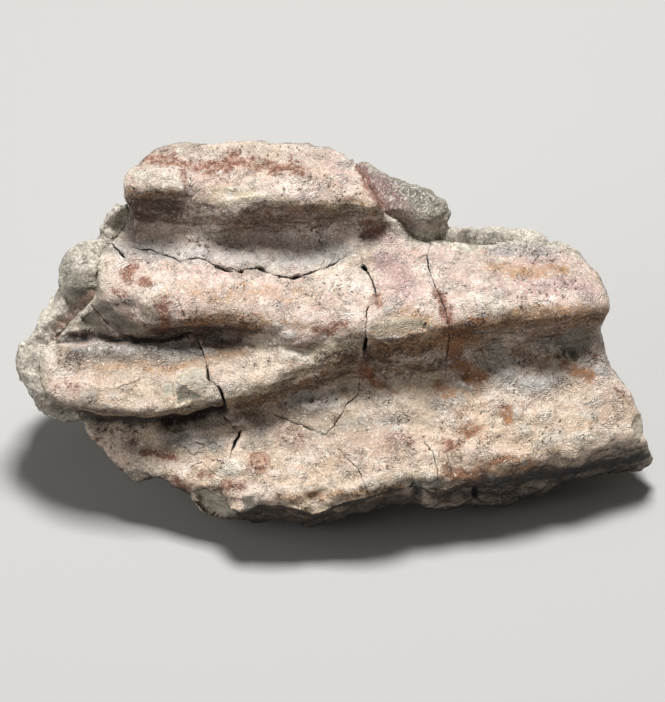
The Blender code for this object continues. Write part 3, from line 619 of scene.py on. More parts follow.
scuteShape = {
    "cell": 0.6,
    "smoothRounds": 4,
    "finerFrom": 0.1,  # faces turned outwards by more than this share are halved,
    "crackReach": 0.42,  # and those as near as this to a crack once more
    "crackWander": (0.12, 0.8, 9.0),
    "crackRelief": (0.6, 0.05),  # how deep a crack is cut, for its depth, and the step beside it
    "gapeRelief": 0.8,
    "rockyReach": (2.3, 1.9),  # how far from the rock its dust lies on the bone, and how far it fades
    "lightLine": (0.1, 0.1),  # width and depth of a light line
    "ringWander": (0.5, 1.0, 5.0),
    "ringRelief": (0.06, 0.04),  # height of a ring, and how much a strong stain adds to it
    "pearlRise": 1.4,
    "scarWander": (0.7, 1.6, 2, 71.0),  # how uneven a scar's edge is, size, octaves, seed
    "pitSeed": 7,
    "pitRadius": (0.1, 0.26),
    "pitDepth": (0.08, 0.25),
    "hollows": [  # deep lines under the overhanging lips: route, half width, depth
        ([(-39.1, -11.8), (-32, -12.2), (-26.3, -12.4), (-20, -12.1), (-16, -11)], 0.9, 0.9),
        ([(-40.5, -0.3), (-32, -0.3), (-26.3, -0.9), (-20.6, -0.5)], 0.5, 0.6),
        ([(-20.6, -0.5), (-13.5, -0.8)], 0.5, 0.3),
        ([(-29.5, 15.2), (-24, 15.6), (-21.5, 15)], 0.9, 0.4),
        ([(5, 15.2), (8.5, 14.4)], 1.2, 0.6),
        ([(6, -3.9), (13.5, -1.5), (20, -1.3)], 1.2, 0.4),
    ],
    "swellings": [  # soft lumps: route, half width, height
        ([(-28, 21), (-23.5, 21.2)], 1.8, 0.5),
        ([(-27.5, 2.0), (-20, 1.9), (-12, 1.8)], 0.9, 0.4),
        ([(-37, -2.2), (-31, -2.5), (-24, -2.7), (-18, -2.6), (-12.5, -2.4)], 0.85, 1.15),
        ([(-10, -1.3), (-7.5, -1.1), (-4, -0.6)], 1.0, 0.9),
        ([(-8, -10.6), (-4, -9.8), (0, -8.8)], 1.2, 0.9),
        ([(-30, -13.9), (-25, -14.2), (-20, -14), (-16, -13.2), (-13, -12.2)], 0.9, 1.15),
        ([(13.5, 1.6), (18, 1.9), (22, 2.0)], 0.9, 0.9),
        ([(24, -17.4), (34, -16.2), (42.5, -14)], 1.2, 0.6),
        ([(-34, -10.6), (-26, -10.9), (-19, -10.2)], 0.8, 0.4),
        ([(-20, 19.6), (-16.5, 19)], 1.6, -0.35),
        ([(-33, 7), (-30.5, 4.8), (-27, 3.4)], 1.5, 0.35),
        ([(18, 4), (26, 4), (36, 4.4)], 1.4, 0.45),
        ([(-36, -9), (-28, -10), (-22, -9.6)], 1.4, 0.4),
        ([(-18.4, -6), (-12, -5)], 2.2, 0.3),
        ([(11.5, 8.5), (12.5, 4)], 2.0, -0.3),
        ([(4.4, 8), (4.6, 0)], 0.8, -0.25),
        ([(21, -18.7), (27, -17.5)], 1.8, 0.35),
        ([(9, -14), (12, -17)], 2.5, -0.35),
        ([(-6.2, -14.6), (-3.5, -15)], 2.6, -0.4),
        ([(-12, -16), (-10, -18)], 2.8, 0.3),
        ([(24, -7), (30, -8)], 3.0, 0.3),
        ([(-23, -16.5), (-19, -17.5)], 2.6, -0.4),
        ([(36, 1), (33, -3)], 2.0, -0.3),
    ],
    "flakes": {  # smooth scars: centre, radii, turn, how far they sink, hollow, strength, darkness
        "shoulderUpper": ((-30.8, 2.2), (4.9, 1.5), -36, 0.3, 0.1, 0, 0),
        "shoulderLower": ((-33.6, 1.3), (2.9, 1.2), -34, 0.3, 0.1, 0, 0),
        "facetLeft": ((-23.9, -8.0), (1.1, 1.4), 5, 0.12, 0, 0, 0),
        "facetMiddle": ((-21.9, -8.6), (1.4, 1.2), -30, 0.3, 0, 0, 0),
        "facetRight": ((-19.6, -7.3), (2.0, 1.4), 14, 0.1, 0, 0, 0),
        "lowerCorner": ((-17.2, -24.1), (3.2, 2.0), -24, 0.4, 0.1, 1.0, 0.2),
        "lowerNotch": ((12.6, -21.6), (2.9, 1.1), 8, 0.4, 0.2, 0.8, 0.3),
        "secondLip": ((9.0, 1.0), (3.7, 1.5), 10, 0.14, 0.12, 0.5, 0.15),
        "firstLip": ((-13.8, 20.2), (3.0, 1.0), 0, 0.12, 0.1, 0.45, 0.2),
        "rightEnd": ((34.2, -1.0), (2.5, 2.3), 0, 0.2, 0.3, 0.9, 0.6),
        "underRightLip": ((23.0, -3.8), (1.8, 2.0), 0, 0.15, 0.15, 0.6, 0.2),
        "rightCorner": ((43.4, -13.2), (1.3, 1.9), 10, 0.3, 0.1, 0.8, 0.1),
        "lowerLeftEdge": ((-27.8, -19.9), (2.4, 1.2), -12, 0.15, 0.1, 0.6, 0.2),
        "farRight": ((37.6, -5.2), (1.5, 1.0), -20, 0.12, 0.1, 0.5, 0.0),
    },
    "noise": [  # size, octaves, seed, stretch, height
        (5.5, 2, 11.3, (1.6, 1, 1), 0.55),
        (2.4, 2, 27.1, (1.3, 1, 1), 0.24),
        (0.9, 2, 41.7, (1, 1, 1), 0.09),
    ],
    "lowLip": [  # where the lowest tread ends and drops away: along, up, out
        (-15, -25.0, 1.2), (-13.5, -25.2, 1.9), (-10.9, -24.4, 2.6), (-7.8, -24.3, 2.7), (-5, -25.1, 1.9),
        (-3.3, -25.7, 1.4), (-0.7, -25.0, 2.0), (1.4, -24.1, 2.6), (4.3, -23.2, 2.8), (7.1, -22.6, 2.6),
        (9.2, -22.1, 2.2), (12, -21.6, 1.2),
    ],
    "nodules": (3.4, 0.35, 12.0),  # size, height, seed
    "lowerRelief": 0.6,  # how much livelier the lowest ridge is
    "calm": [  # where the surface is smoother: route, half width, share taken off
        ([(-40, -9.6), (-34, -11), (-27, -11.6), (-20, -11.1), (-16.5, -10.2)], 1.3, 0.7),
        ([(33, -11), (38, -9.5)], 5.0, 0.5),
    ],
    "crust": [  # where rock clings to the bone's rear edge
        ([(14, 13.9), (24, 14.0), (31, 13.2), (35, 11.7)], 1.0, 0.9),
    ],
    "layers": (0.8, 2, 63.0, (4, 0.9, 0.9), 0.10),  # on the risers
    "backNoise": (2.2, 3, 81.0, (1, 1, 1), 0.3),
}


fractures = {  # broken ground that shows the bone's dull inside: corners, darkness, strength
    "shoulderUpper": ([(-34.0, 5.4), (-32.7, 5.0), (-30.8, 3.3), (-28.4, 1.4), (-26.3, 0.0), (-30.7, 0.2),
                       (-32.4, 1.6), (-33.6, 3.1), (-34.5, 4.3)], 0.85, 1.0),
    "shoulderLower": ([(-34.9, 4.1), (-34.0, 3.0), (-32.8, 1.5), (-31.2, 0.2), (-33.4, -0.2), (-35.9, 0.6),
                       (-36.6, 2.4)], 0.5, 1.0),
    "facetA": ([(-24.7, -6.8), (-23.1, -6.2), (-22.8, -8.8), (-24.4, -8.6)], 0.35, 0.85),
    "facetB": ([(-23.0, -6.1), (-21.2, -7.2), (-18.6, -8.8), (-20.4, -9.4), (-22.4, -9.8), (-22.9, -7.4)],
               0.9, 1.0),
    "facetC": ([(-22.9, -6.0), (-21.5, -5.1), (-19.2, -4.8), (-17.7, -5.8), (-18.0, -7.8), (-19.4, -8.2),
                (-21.2, -7.1)], 0.1, 0.75),
    "cornerFacet": ([(-13.5, -22.5), (-11.2, -22.4), (-10.9, -24.3), (-12.8, -24.9)], 0.9, 0.9),
    # in the deep notch the dark ground is partly painted shade
    "notchDeep": ([(10.4, -20.3), (12.0, -20.6), (13.4, -21.2), (12.2, -21.8), (11.5, -23.2), (10.9, -21.9)],
                  1.0, 1.0),
}


def fillLip(points, normals, lip):
    # carries the lowest tread on to its edge, where it drops away
    along, up, out = np.array(lip).T
    inside = points[:, 1] - np.interp(points[:, 0], along, up)
    level = np.interp(points[:, 0], along, out) + 0.3 * np.clip(inside, 0, 2)
    share = ramp(inside, -0.5, 0.2) * ramp(3.5 - inside, 0, 1.5) * ramp(normals[:, 2], 0.05, 0.25)
    within = ramp(points[:, 0], along[0] - 1, along[0]) * ramp(-points[:, 0], -along[-1] - 1, -along[-1])
    points[:, 2] += share * within * np.maximum(level - points[:, 2], 0)
    return ramp(-inside, 0.2, 0.8) * within  # what lies below the edge


def pressFlakes(points, normals, flat, flakes):
    # presses each scar to a shallow bowl that is set square to the surface around it
    scar = np.zeros(len(points))
    murk = np.zeros(len(points))
    rim = np.zeros(len(points))
    points = points.copy()
    amount, *pattern = scuteShape["scarWander"]
    uneven = amount * fractal(points, *pattern)
    for corners, darkness, strength in fractures.values():
        depth = insideShape(flat, corners)
        cover = strength * ramp(depth, -0.1, 0.35) * (normals[:, 2] > -0.2)
        murk = np.where(cover > scar, darkness * ramp(depth, -0.9, 1.0), murk)
        scar = np.maximum(scar, cover)
    for centre, radii, turn, sink, hollow, strength, darkness in flakes.values():
        away = np.hypot(*(flat - centre).T)
        near = (away < 0.7 * max(radii)) & (normals[:, 2] > 0.05)
        if not near.any():
            print("no face for a scar at", centre)
            continue
        square = Vector(normals[near].mean(axis=0)).normalized()
        origin = points[np.argmin(away + 1e3 * ~near)].copy()
        angle = math.radians(turn)
        along = Vector((math.cos(angle), math.sin(angle), 0))
        along = (along - square * along.dot(square)).normalized()
        across = square.cross(along)
        local = (points - origin) @ np.array([along, across, square]).T
        share = (local[:, 0] / radii[0]) ** 2 + (local[:, 1] / radii[1]) ** 2 + uneven
        inside = (share < 1) & (np.abs(local[:, 2]) < 3) & (normals[:, 2] > -0.2)
        floor = -sink - hollow * (1 - share)
        drop = np.where(inside, np.minimum(floor - local[:, 2], 0), 0)
        points += drop[:, None] * np.array(square)
        cover = strength * np.where(inside, ramp(1 - share, 0, 0.25), 0)
        murk = np.where(cover > scar, darkness * cover, murk)
        scar = np.maximum(scar, cover)
        seam = bell(share - 1.0, 0.12) * (np.abs(local[:, 2]) < 2.5) * (normals[:, 2] > 0)
        rim = np.maximum(rim, strength * (1 - 0.6 * darkness) * seam)
    return points, scar, murk, rim


def pitPlaces():
    # loose pores, thicker in the pitted zones: (along, up), radius, depth
    random.seed(scuteShape["pitSeed"])
    pits = []
    for (along, up), wide, high, count in pitted.values():
        for _ in range(count):
            angle = random.uniform(0, 2 * math.pi)
            reach = math.sqrt(random.random())
            place = (along + wide * reach * math.cos(angle), up + high * reach * math.sin(angle))
            radius = random.uniform(*scuteShape["pitRadius"])
            depth = random.uniform(*scuteShape["pitDepth"])
            pits.append((place, radius, depth))
    return pits


def carveRings(rough, points, front):
    # adds the growth rings' relief to rough; the turns come round, and how strongly each place is ringed
    turns, ringed = np.zeros((2, len(points)))
    flat = wander(points[:, :2], *scuteShape["ringWander"])
    least, more = scuteShape["ringRelief"]
    for centre, radius, spacing, strength in rings.values():
        away = flat - centre
        far = np.hypot(*away.T)
        shows = ramp(radius * 1.15 - far, 0, 0.5) * front
        winding = far / spacing + np.arctan2(away[:, 1], away[:, 0]) / (2 * math.pi)
        rough += (least + more * strength) * np.cos(2 * math.pi * winding) * shows
        turns[shows > 0] = winding[shows > 0]
        ringed = np.maximum(ringed, strength * shows)
    return turns, ringed


def carveLines(rough, flat, marks, front, kind, relief):
    # cuts lines into rough; the distance beside the nearest one, signed by its side, and its width there
    away = np.full(len(flat), 9.0)
    wide = np.zeros(len(flat))
    for route, width, depth in marks:
        far, side, come = routeDistance(flat, route)
        width = width * (0.3 + 0.7 * ramp(come, 0, 1.6)) * (0.42 + 0.36 * np.sin(1.7 * come + 9 * depth))
        nearer = far < np.abs(away)
        away[nearer] = (side * far)[nearer]
        wide[nearer] = (width * ramp(1.0 - far, 0, 0.4))[nearer]
        rough -= relief * depth * bell(far, width + 0.06) * front
        rough += scuteShape["crackRelief"][1] * side * bell(far, 1.0) * front
    return {kind + "Side": away, kind + "Wide": wide}


def makeBone(material):
    shape = scuteShape
    piece = workingCopy("scute", "scute_skin", shape["cell"], shape["smoothRounds"])
    refine(piece, lambda middles, normals: normals[:, 2] > shape["finerFrom"])
    relax(piece, 2)

    def nearCracks(middles, normals):
        near = np.zeros(len(middles), bool)
        for route, _, _ in cracks.values():
            near |= routeDistance(middles[:, :2], route)[0] < shape["crackReach"]
        return near & (normals[:, 2] > shape["finerFrom"])

    refine(piece, nearCracks)
    mesh = piece.data
    print("bone meshed:", len(mesh.polygons), "faces")

    points = readPoints(mesh)
    normals = readNormals(mesh)
    seen = normals[:, 2] > 0
    front = ramp(normals[:, 2], -0.1, 0.25)
    flat = wander(points[:, :2], *face["ragged"])

    push = np.zeros(len(points))
    for route, width, depth in shape["hollows"]:
        push -= depth * bell(routeDistance(flat, route)[0], width)
    for route, width, height in shape["swellings"]:
        push += height * bell(routeDistance(flat, route)[0], 1.3 * width)
    points += (push * front)[:, None] * normals
    below = fillLip(points, normals, shape["lowLip"])
    writePoints(mesh, points)
    relax(piece, 1)

    points = readPoints(mesh)
    normals = readNormals(mesh)
    points, scar, murk, rim = pressFlakes(points, normals, flat, shape["flakes"])
    writePoints(mesh, points)
    normals = readNormals(mesh)
    print("bone flaked")

    rough = np.zeros(len(points))
    lively = 1 + shape["lowerRelief"] * ramp(-points[:, 1], 6, 12)
    for *pattern, height in shape["noise"]:
        rough += lively * height * fractal(points, *pattern)
    *pattern, height = shape["layers"]
    steep = ramp(-normals[:, 1], 0.25, 0.6)
    layer = fractal(points, *pattern)
    rough += height * layer * (0.25 + 0.75 * steep) * (1 - 0.8 * ramp(-points[:, 1], 18, 21))
    *pattern, height = shape["backNoise"]
    rough += (1 - front) * height * fractal(points, *pattern)
    rough *= (1 - 0.85 * scar) * (1 - strokes(flat, shape["calm"]) * front)

    turns, ringed = carveRings(rough, points, front)
    pearl = np.zeros(len(points))
    for centre, radii, height in pearls.values():
        share = np.hypot(*((flat - centre) / radii).T)
        rough += shape["pearlRise"] * height * ramp(1.6 - share, 0, 1.4) * front
        pearl = np.maximum(pearl, ramp(1.6 - share, 0, 1.3) * front)
    size, height, seed = shape["nodules"]
    nodule = nodulesOf(points + 0.35 * rough[:, None], size, seed) * front
    nodule *= (0.35 + 0.65 * ramp(-points[:, 1], 4, 10)) * (1 - scar) * (1 - steep)
    rough += height * nodule
    pore = np.zeros(len(points))
    for place, radius, depth in pitPlaces():
        far = np.hypot(*(points[:, :2] - place).T)
        near = (far < 3 * radius) & seen
        rough[near] -= depth * bell(far[near], radius) * (1 - scar[near])
        pore[near] = np.maximum(pore[near], bell(far[near], radius) * (1 - scar[near]))
    shaky = wander(points[:, :2], *shape["crackWander"])
    lines = [(route, *shape["lightLine"]) for route in lightLines.values()]
    painting = carveLines(rough, shaky, cracks.values(), front, "crack", shape["crackRelief"][0])
    painting |= carveLines(rough, shaky, lines, front, "light", 0)
    gaped = np.zeros(len(points))
    for centre, long, short, turn in gapes.values():
        place = turned(shaky, centre, turn)
        share = 1 - (place[:, 0] / long) ** 2 - (place[:, 1] / short) ** 2
        gaped = np.maximum(gaped, ramp(share, -0.5, 0.8) * front)
    rough -= shape["gapeRelief"] * gaped
    points += rough[:, None] * normals
    writePoints(mesh, points)
    print("bone carved")

    normals = readNormals(mesh)
    relief = reliefOf(points, seen)
    reach, fade = shape["rockyReach"]
    rocky = ramp(reach - distanceTo("matrix", points), 0, fade)
    lowness = -points[:, 1] + 0.08 * np.maximum(points[:, 0], 0)
    # the overhanging undersides near the foot, and what lies below the lowest lip, are painted into shade
    overhang = ramp(0.62 - normals[:, 2], 0, 0.3) * ramp(-normals[:, 1], 0.4, 0.75) * ramp(lowness, 15, 20)
    for name, marks in stains.items():
        painting[name] = strokes(flat, marks) * ramp(normals[:, 2], -0.4, 0.0)
    painting |= {
        "scar": scar, "murk": murk, "rim": rim, "pore": pore, "pearl": pearl, "nodule": nodule,
        "gaped": gaped, "ringed": ringed, "ringTurns": turns,
        "low": ramp(-points[:, 1], -4, 14),
        # the recessed places, which are laid over with a darker grey: partly their grey tone, partly painted
        # shade
        "trough": ramp(-relief, 0.6, 2.8),
        "steep": ramp(-normals[:, 1], 0.4, 0.9) * front,
        "broken": 1 - front,
        "rocky": np.maximum(rocky, strokes(flat, shape["crust"])) * front,
        "under": np.maximum(overhang, 0.85 * below),
    }
    for name, values in painting.items():
        paint(mesh, name, values)
    finishPiece(piece, material)
    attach(piece, "root")
    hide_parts("scute")
    return piece


rockShape = {
    "cell": 0.52,
    "smoothRounds": 1,
    "finerLeft": -29,  # the rock is finer to the left of this,
    "finerUpper": (1, 11),  # to the right of this and above it,
    "finerFrom": -12,  # and only as far back as this
    "flushReach": 2.6,  # how far beside the bone the rock is brought level with its edge
    "flushMost": (-3.0, 1.6),  # and how far down and up at most
    "meetReach": 1.4,  # rock this close to the bone is drawn into it
    "meetDepth": 0.12,
    "boulder": ((-36.0, 9.7), (3.3, 4.8), -12, 0.85),  # a smooth lump: centre, radii, turn, rise
    "boulderWander": (0.6, 2.2, 3.0),
    "grain": 0.75,  # size of the grains that stand out of the broken faces
    "grainHeight": 0.07,
    "lumps": [(4.5, 2, 17.0, (1, 1, 1), 0.4), (1.5, 3, 33.0, (1, 1, 1), 0.12)],
    "facets": [(3.6, 0.5, 5.0), (1.6, 0.32, 8.0)],  # size, height, seed
    "foot": 0.35,  # the foot stays flat below this height above the ground
}
rockMarks = {
    "violet": [
        ([(3.1, 23.9), (5.2, 20.9), (7.2, 17.6), (9.4, 14.3)], 1.3, 1.0),
        ([(6.5, 22.2), (9, 18.5), (11, 15.5)], 1.5, 0.6),
        ([(-41.9, 0), (-43.5, -4)], 1.2, 0.3),
    ],
    "rust": [
        ([(3.4, 23.6), (5.6, 19.9), (7.4, 16.9)], 0.5, 0.9),
        ([(-42, -9), (-40, -10.6)], 0.8, 0.4),
    ],
    "rosy": [
        ([(-34.5, 5.8), (-37, 3.2), (-39.2, 1), (-40.4, -1.2)], 0.6, 0.9),
    ],
    "pale": [
        ([(-34.6, 12.4), (-34.0, 9)], 0.9, 0.5),
        ([(-30.4, 16.6), (-33, 14.5)], 1.8, 0.7),
        ([(-37.5, 4.5), (-41, 0.5), (-44, -3.5), (-43.5, -7)], 2.4, 0.6),
        ([(-38.8, 4.6), (-40.6, 2)], 2.0, 1.0),
        ([(14, 15.2), (22, 15.4), (32, 14.6), (36, 12.8)], 1.4, 0.85),
        # painted light on the upper block's lower end, which its shape leaves in shade
        ([(9.6, 17.4), (10.8, 15.2), (13, 14.6)], 1.2, 0.9),
    ],
    "shade": [
        ([(-37.4, 6.2), (-34.8, 5.8)], 1.1, 0.7),
        ([(-38.4, 10.5), (-38.2, 7.5), (-36, 6.4)], 1.3, 0.45),
        ([(8.6, 21), (12.5, 19)], 2.2, 0.6),
        ([(-38.5, 9.8), (-37, 11.6)], 1.2, 0.35),
        ([(17, 14.4), (24, 14.4)], 1.2, 0.45),
        ([(-42.5, -7), (-42.8, -9.2)], 1.4, 0.4),
    ],
    "weathered": [
        ([(-20, 0), (25, 5)], 12, 0.4),
    ],
}


def faceted(points, size, seed):
    # breaks a surface into flat facets: each cell of a random pattern is tilted its own way
    heights = []
    for place in (points / size + seed).tolist():
        centre = noise.voronoi(place)[1][0]
        heights.append(noise.cell_vector(centre * 9.7).dot(Vector(place) - centre))
    return np.array(heights)


def edgeBeside(points, bone):
    # how far each point is from the bone as seen square on, and how far the bone's edge stands out there
    seen = readNormals(bone)[:, 2] > 0.35
    edge = readPoints(bone)[seen]
    tree = KDTree(len(edge))
    for i, (along, up, out) in enumerate(edge.tolist()):
        tree.insert((along, up, 0), i)
    tree.balance()
    found = [tree.find((along, up, 0)) for along, up, out in points.tolist()]
    return np.array([hit[2] for hit in found]), edge[[hit[1] for hit in found], 2]


def meetBone(points, bone, reach, depth):
    # draws the rock that lies close to the bone just into it, so that no gap shows
    corners = [vertex.co for vertex in bone.vertices]
    tree = BVHTree.FromPolygons(corners, [part.vertices for part in bone.polygons])
    met = points.copy()
    gaps = np.full(len(points), reach)
    for i, point in enumerate(points.tolist()):
        spot, normal, _, gap = tree.find_nearest(point, reach)
        if spot is None:
            continue
        outside = normal.dot(Vector(point) - spot) > 0
        gaps[i] = gap if outside else 0
        if outside:
            share = min(1.0, 1.7 * (1 - gap / reach))
            met[i] += share * share * (3 - 2 * share) * np.array(spot - depth * normal - Vector(point))
    return met, gaps


def makeRock(material, bone):
    shape = rockShape
    piece = workingCopy("matrix", "matrix_rock", shape["cell"], shape["smoothRounds"])

    def isVisible(middles, normals):
        # what stands out beside the bone, seen from the front
        farLeft, farUpper = shape["finerLeft"], shape["finerUpper"]
        left = middles[:, 0] < farLeft
        upper = (middles[:, 0] > farUpper[0]) & (middles[:, 1] > farUpper[1])
        return (normals[:, 2] > -0.1) & (left | upper) & (middles[:, 2] > shape["finerFrom"])

    refine(piece, isVisible)
    relax(piece, 1)
    mesh = piece.data
    print("rock meshed:", len(mesh.polygons), "faces")
    points = readPoints(mesh)
    normals = readNormals(mesh)
    away, edge = edgeBeside(points, bone)
    facing = ramp(normals[:, 2], -0.1, 0.3)
    flush = ramp(shape["flushReach"] - away, 0, shape["flushReach"]) * facing * ramp(-points[:, 1], -18, -16)
    points[:, 2] += flush * np.clip(edge - 0.25 * away - points[:, 2], *shape["flushMost"])
    writePoints(mesh, points)
    normals = readNormals(mesh)

    height = (points[:, 1] + points[:, 2]) * math.sin(face["lean"]) + face["place"][2]
    free = ramp(height, shape["foot"], 3 * shape["foot"])
    rough = np.zeros(len(points))
    for *pattern, tall in shape["lumps"]:
        rough += tall * fractal(points, *pattern)
    rough *= 0.4 + 0.6 * ramp(away, 0, 2.5)
    for size, tall, seed in shape["facets"]:
        rough += tall * np.clip(faceted(points, size, seed), -0.6, 0.6)
    rough += shape["grainHeight"] * (0.6 - cellular(points, shape["grain"], 55.0))
    centre, radii, turn, rise = shape["boulder"]
    near = turned(wander(points[:, :2], *shape["boulderWander"]), centre, turn)
    share = np.hypot(*(near / radii).T)
    smooth = ramp(normals[:, 2], -0.5, 0.1) * ramp(1.1 - share, 0, 0.2)
    rough *= 1 - 0.8 * smooth
    rough += smooth * rise * np.sqrt(np.maximum(1 - share**2, 0)) - 0.3 * bell(share - 1.1, 0.1) * facing
    points += (rough * free)[:, None] * normals
    points, gap = meetBone(points, bone, shape["meetReach"], shape["meetDepth"])
    writePoints(mesh, points)
    relax(piece, 1)
    points = readPoints(mesh)
    flat = wander(points[:, :2], *face["ragged"])
    front = ramp(readNormals(mesh)[:, 2], -0.2, 0.2)
    painting = {name: strokes(flat, marks) * front for name, marks in rockMarks.items()}
    painting |= {"seam": ramp(-gap, -0.5, -0.1) * front, "hidden": 1 - front, "worn": smooth}
    for name, values in painting.items():
        paint(mesh, name, values)
    print("rock carved")
    finishPiece(piece, material)
    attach(piece, "root")
    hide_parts("matrix")
    return piece


def tone(red, green, blue):
    # a display colour, 0 to 255, as the linear colour that nodes take
    shares = [value / 255 for value in (red, green, blue)]
    return tuple(s / 12.92 if s < 0.04 else ((s + 0.055) / 1.055) ** 2.4 for s in shares) + (1,)


class Finish:
    # one material: its colour is laid on in coats, and the last step wires it up
    def __init__(self, name, tones=None, stains=None):
        self.material = bpy.data.materials.new(name)
        self.material.use_nodes = True
        self.tree = self.material.node_tree
        self.shader = self.tree.nodes["Principled BSDF"]
        self.tones = tones
        self.stains = stains
        self.colour = None

    def add(self, kind):
        return self.tree.nodes.new("ShaderNode" + kind)

    def feed(self, source, socket):
        if isinstance(source, (int, float, tuple)):
            socket.default_value = source
        else:
            self.tree.links.new(source, socket)

    def facePlace(self):
        # Object coordinates in the ridged face's own millimetres
        turn = self.add("Mapping")
        turn.inputs["Rotation"].default_value = (-face["lean"], 0, 0)
        turn.inputs["Scale"].default_value = (1 / face["metres"],) * 3
        self.feed(self.add("TexCoord").outputs["Object"], turn.inputs["Vector"])
        return turn.outputs["Vector"]

    def stretched(self, place, size, stretch=(1, 1, 1)):
        squeeze = self.add("Mapping")
        squeeze.inputs["Scale"].default_value = [1 / (size * share) for share in stretch]
        self.feed(place, squeeze.inputs["Vector"])
        return squeeze.outputs["Vector"]

    def noise(self, place, size, detail=3, roughness=0.55, distortion=0.0, stretch=(1, 1, 1)):
        texture = self.add("TexNoise")
        settings = {"Scale": 1, "Detail": detail, "Roughness": roughness, "Distortion": distortion}
        for name, value in settings.items():
            texture.inputs[name].default_value = value
        self.feed(self.stretched(place, size, stretch), texture.inputs["Vector"])
        return texture.outputs["Fac"]

    def cells(self, place, size):
        texture = self.add("TexVoronoi")
        texture.inputs["Scale"].default_value = 1
        self.feed(self.stretched(place, size), texture.inputs["Vector"])
        return texture

    def cellLuck(self, place, size):
        # a number of its own for every cell
        split = self.add("SeparateColor")
        self.feed(self.cells(place, size).outputs["Color"], split.inputs["Color"])
        return split.outputs["Red"]

    def calc(self, operation, first, second=0.0, third=0.0):
        node = self.add("Math")
        node.operation = operation
        for source, socket in zip((first, second, third), node.inputs):
            self.feed(source, socket)
        return node.outputs["Value"]

    def times(self, first, second):
        return self.calc("MULTIPLY", first, second)

    def timesPlus(self, first, second, third):
        return self.calc("MULTIPLY_ADD", first, second, third)

    def minus(self, first, second):
        return self.calc("SUBTRACT", first, second)

    def rest(self, share):
        return self.calc("SUBTRACT", 1.0, share)

    def most(self, first, second):
        return self.calc("MAXIMUM", first, second)

    def span(self, value, low, high, toLow=0.0, toHigh=1.0):
        node = self.add("MapRange")
        node.interpolation_type = "SMOOTHSTEP"
        for source, socket in zip((value, low, high, toLow, toHigh), node.inputs):
            self.feed(source, socket)
        return node.outputs["Result"]

    def blend(self, share, base, over, kind="MIX"):
        node = self.add("Mix")
        node.data_type = "RGBA"
        node.blend_type = kind
        for place, source in ((0, share), (6, base), (7, over)):
            self.feed(self.tones[source] if isinstance(source, str) else source, node.inputs[place])
        return node.outputs[2]

    def coat(self, share, over, kind="MIX"):
        self.colour = self.blend(share, self.colour, over, kind)

    def painted(self, name):
        node = self.add("Attribute")
        node.attribute_name = name
        return node.outputs["Fac"]

    def grey(self, value):
        node = self.add("CombineColor")
        for socket in node.inputs:
            self.feed(value, socket)
        return node.outputs["Color"]

    def dusted(self, name, dust, bite=1.6, low=0.22, high=0.75, hold=1.0):
        # a painted mask that breaks up into dots, all over where hold is low, or else along its soft edge
        bitten = self.times(self.minus(dust, 0.5), bite)
        return self.span(self.timesPlus(self.painted(name), hold, bitten), low, high)

    def stain(self, name, dust, over=None):
        bite, cover, hold = self.stains[name]
        self.coat(self.times(self.dusted(name, dust, bite, hold=hold), cover), over or name)

    def drawnLine(self, name, shake):
        # a fine line where the painted distance changes side, as wide as the painted width says
        place = self.calc("ABSOLUTE", self.calc("ADD", self.painted(name + "Side"), shake))
        return self.span(self.minus(self.painted(name + "Wide"), place), -0.04, 0.03)

    def done(self, roughness, height, reach):
        bump = self.add("Bump")
        bump.inputs["Strength"].default_value = 1.0
        bump.inputs["Distance"].default_value = reach * face["metres"]
        self.feed(height, bump.inputs["Height"])
        ends = {"Base Color": self.colour, "Roughness": roughness, "Normal": bump.outputs["Normal"]}
        for name, source in ends.items():
            self.feed(source, self.shader.inputs[name])
        return self.material


bumpReach = {"bone": 0.2, "rock": 0.15}  # how deep the finest grain looks
boneTones = {
    "cream": tone(213, 196, 178),
    "rosy": tone(212, 186, 172),
    "ashen": tone(180, 175, 168),
    "ivory": tone(240, 230, 218),
    "tan": tone(178, 146, 118),
    "trough": tone(160, 156, 152),
    "dusk": tone(146, 132, 116),
    "slate": tone(156, 158, 156),
    "violet": tone(172, 140, 140),
    "ochre": tone(180, 140, 102),
    "rust": tone(108, 62, 46),
    "iron": tone(166, 112, 68),
    "rustLight": tone(172, 124, 98),
    "olive": tone(164, 150, 118),
    "umber": tone(68, 43, 26),
    "earth": tone(152, 112, 72),
    "paintedShade": tone(18, 13, 9),
    "peach": tone(210, 186, 158),
    "pearl": tone(204, 198, 184),
    "pearlBlue": tone(188, 187, 181),
    "pale": tone(228, 220, 204),
    "scar": tone(178, 170, 152),
    "murk": tone(80, 76, 65),
    "rim": tone(236, 226, 200),
    "crack": tone(24, 17, 13),
    "fleck": tone(94, 64, 46),
    "broken": tone(140, 126, 106),
    "gritDark": tone(128, 122, 106),
    "gritLight": tone(224, 216, 200),
}
boneStains = {  # how far dust bites into each stain, how strongly it covers, how well its middle holds
    "dusk": (0.8, 0.75, 1.0),
    "slate": (1.2, 0.65, 0.9),
    "violet": (1.8, 0.65, 0.85),
    "ochre": (2.0, 0.8, 0.78),
    "pale": (1.8, 0.7, 0.8),
    "olive": (1.6, 0.7, 0.9),
    "rust": (3.0, 0.92, 0.9),
    "iron": (2.2, 0.85, 0.85),
    "earth": (1.9, 0.78, 0.85),
    "umber": (2.2, 0.88, 0.85),
}


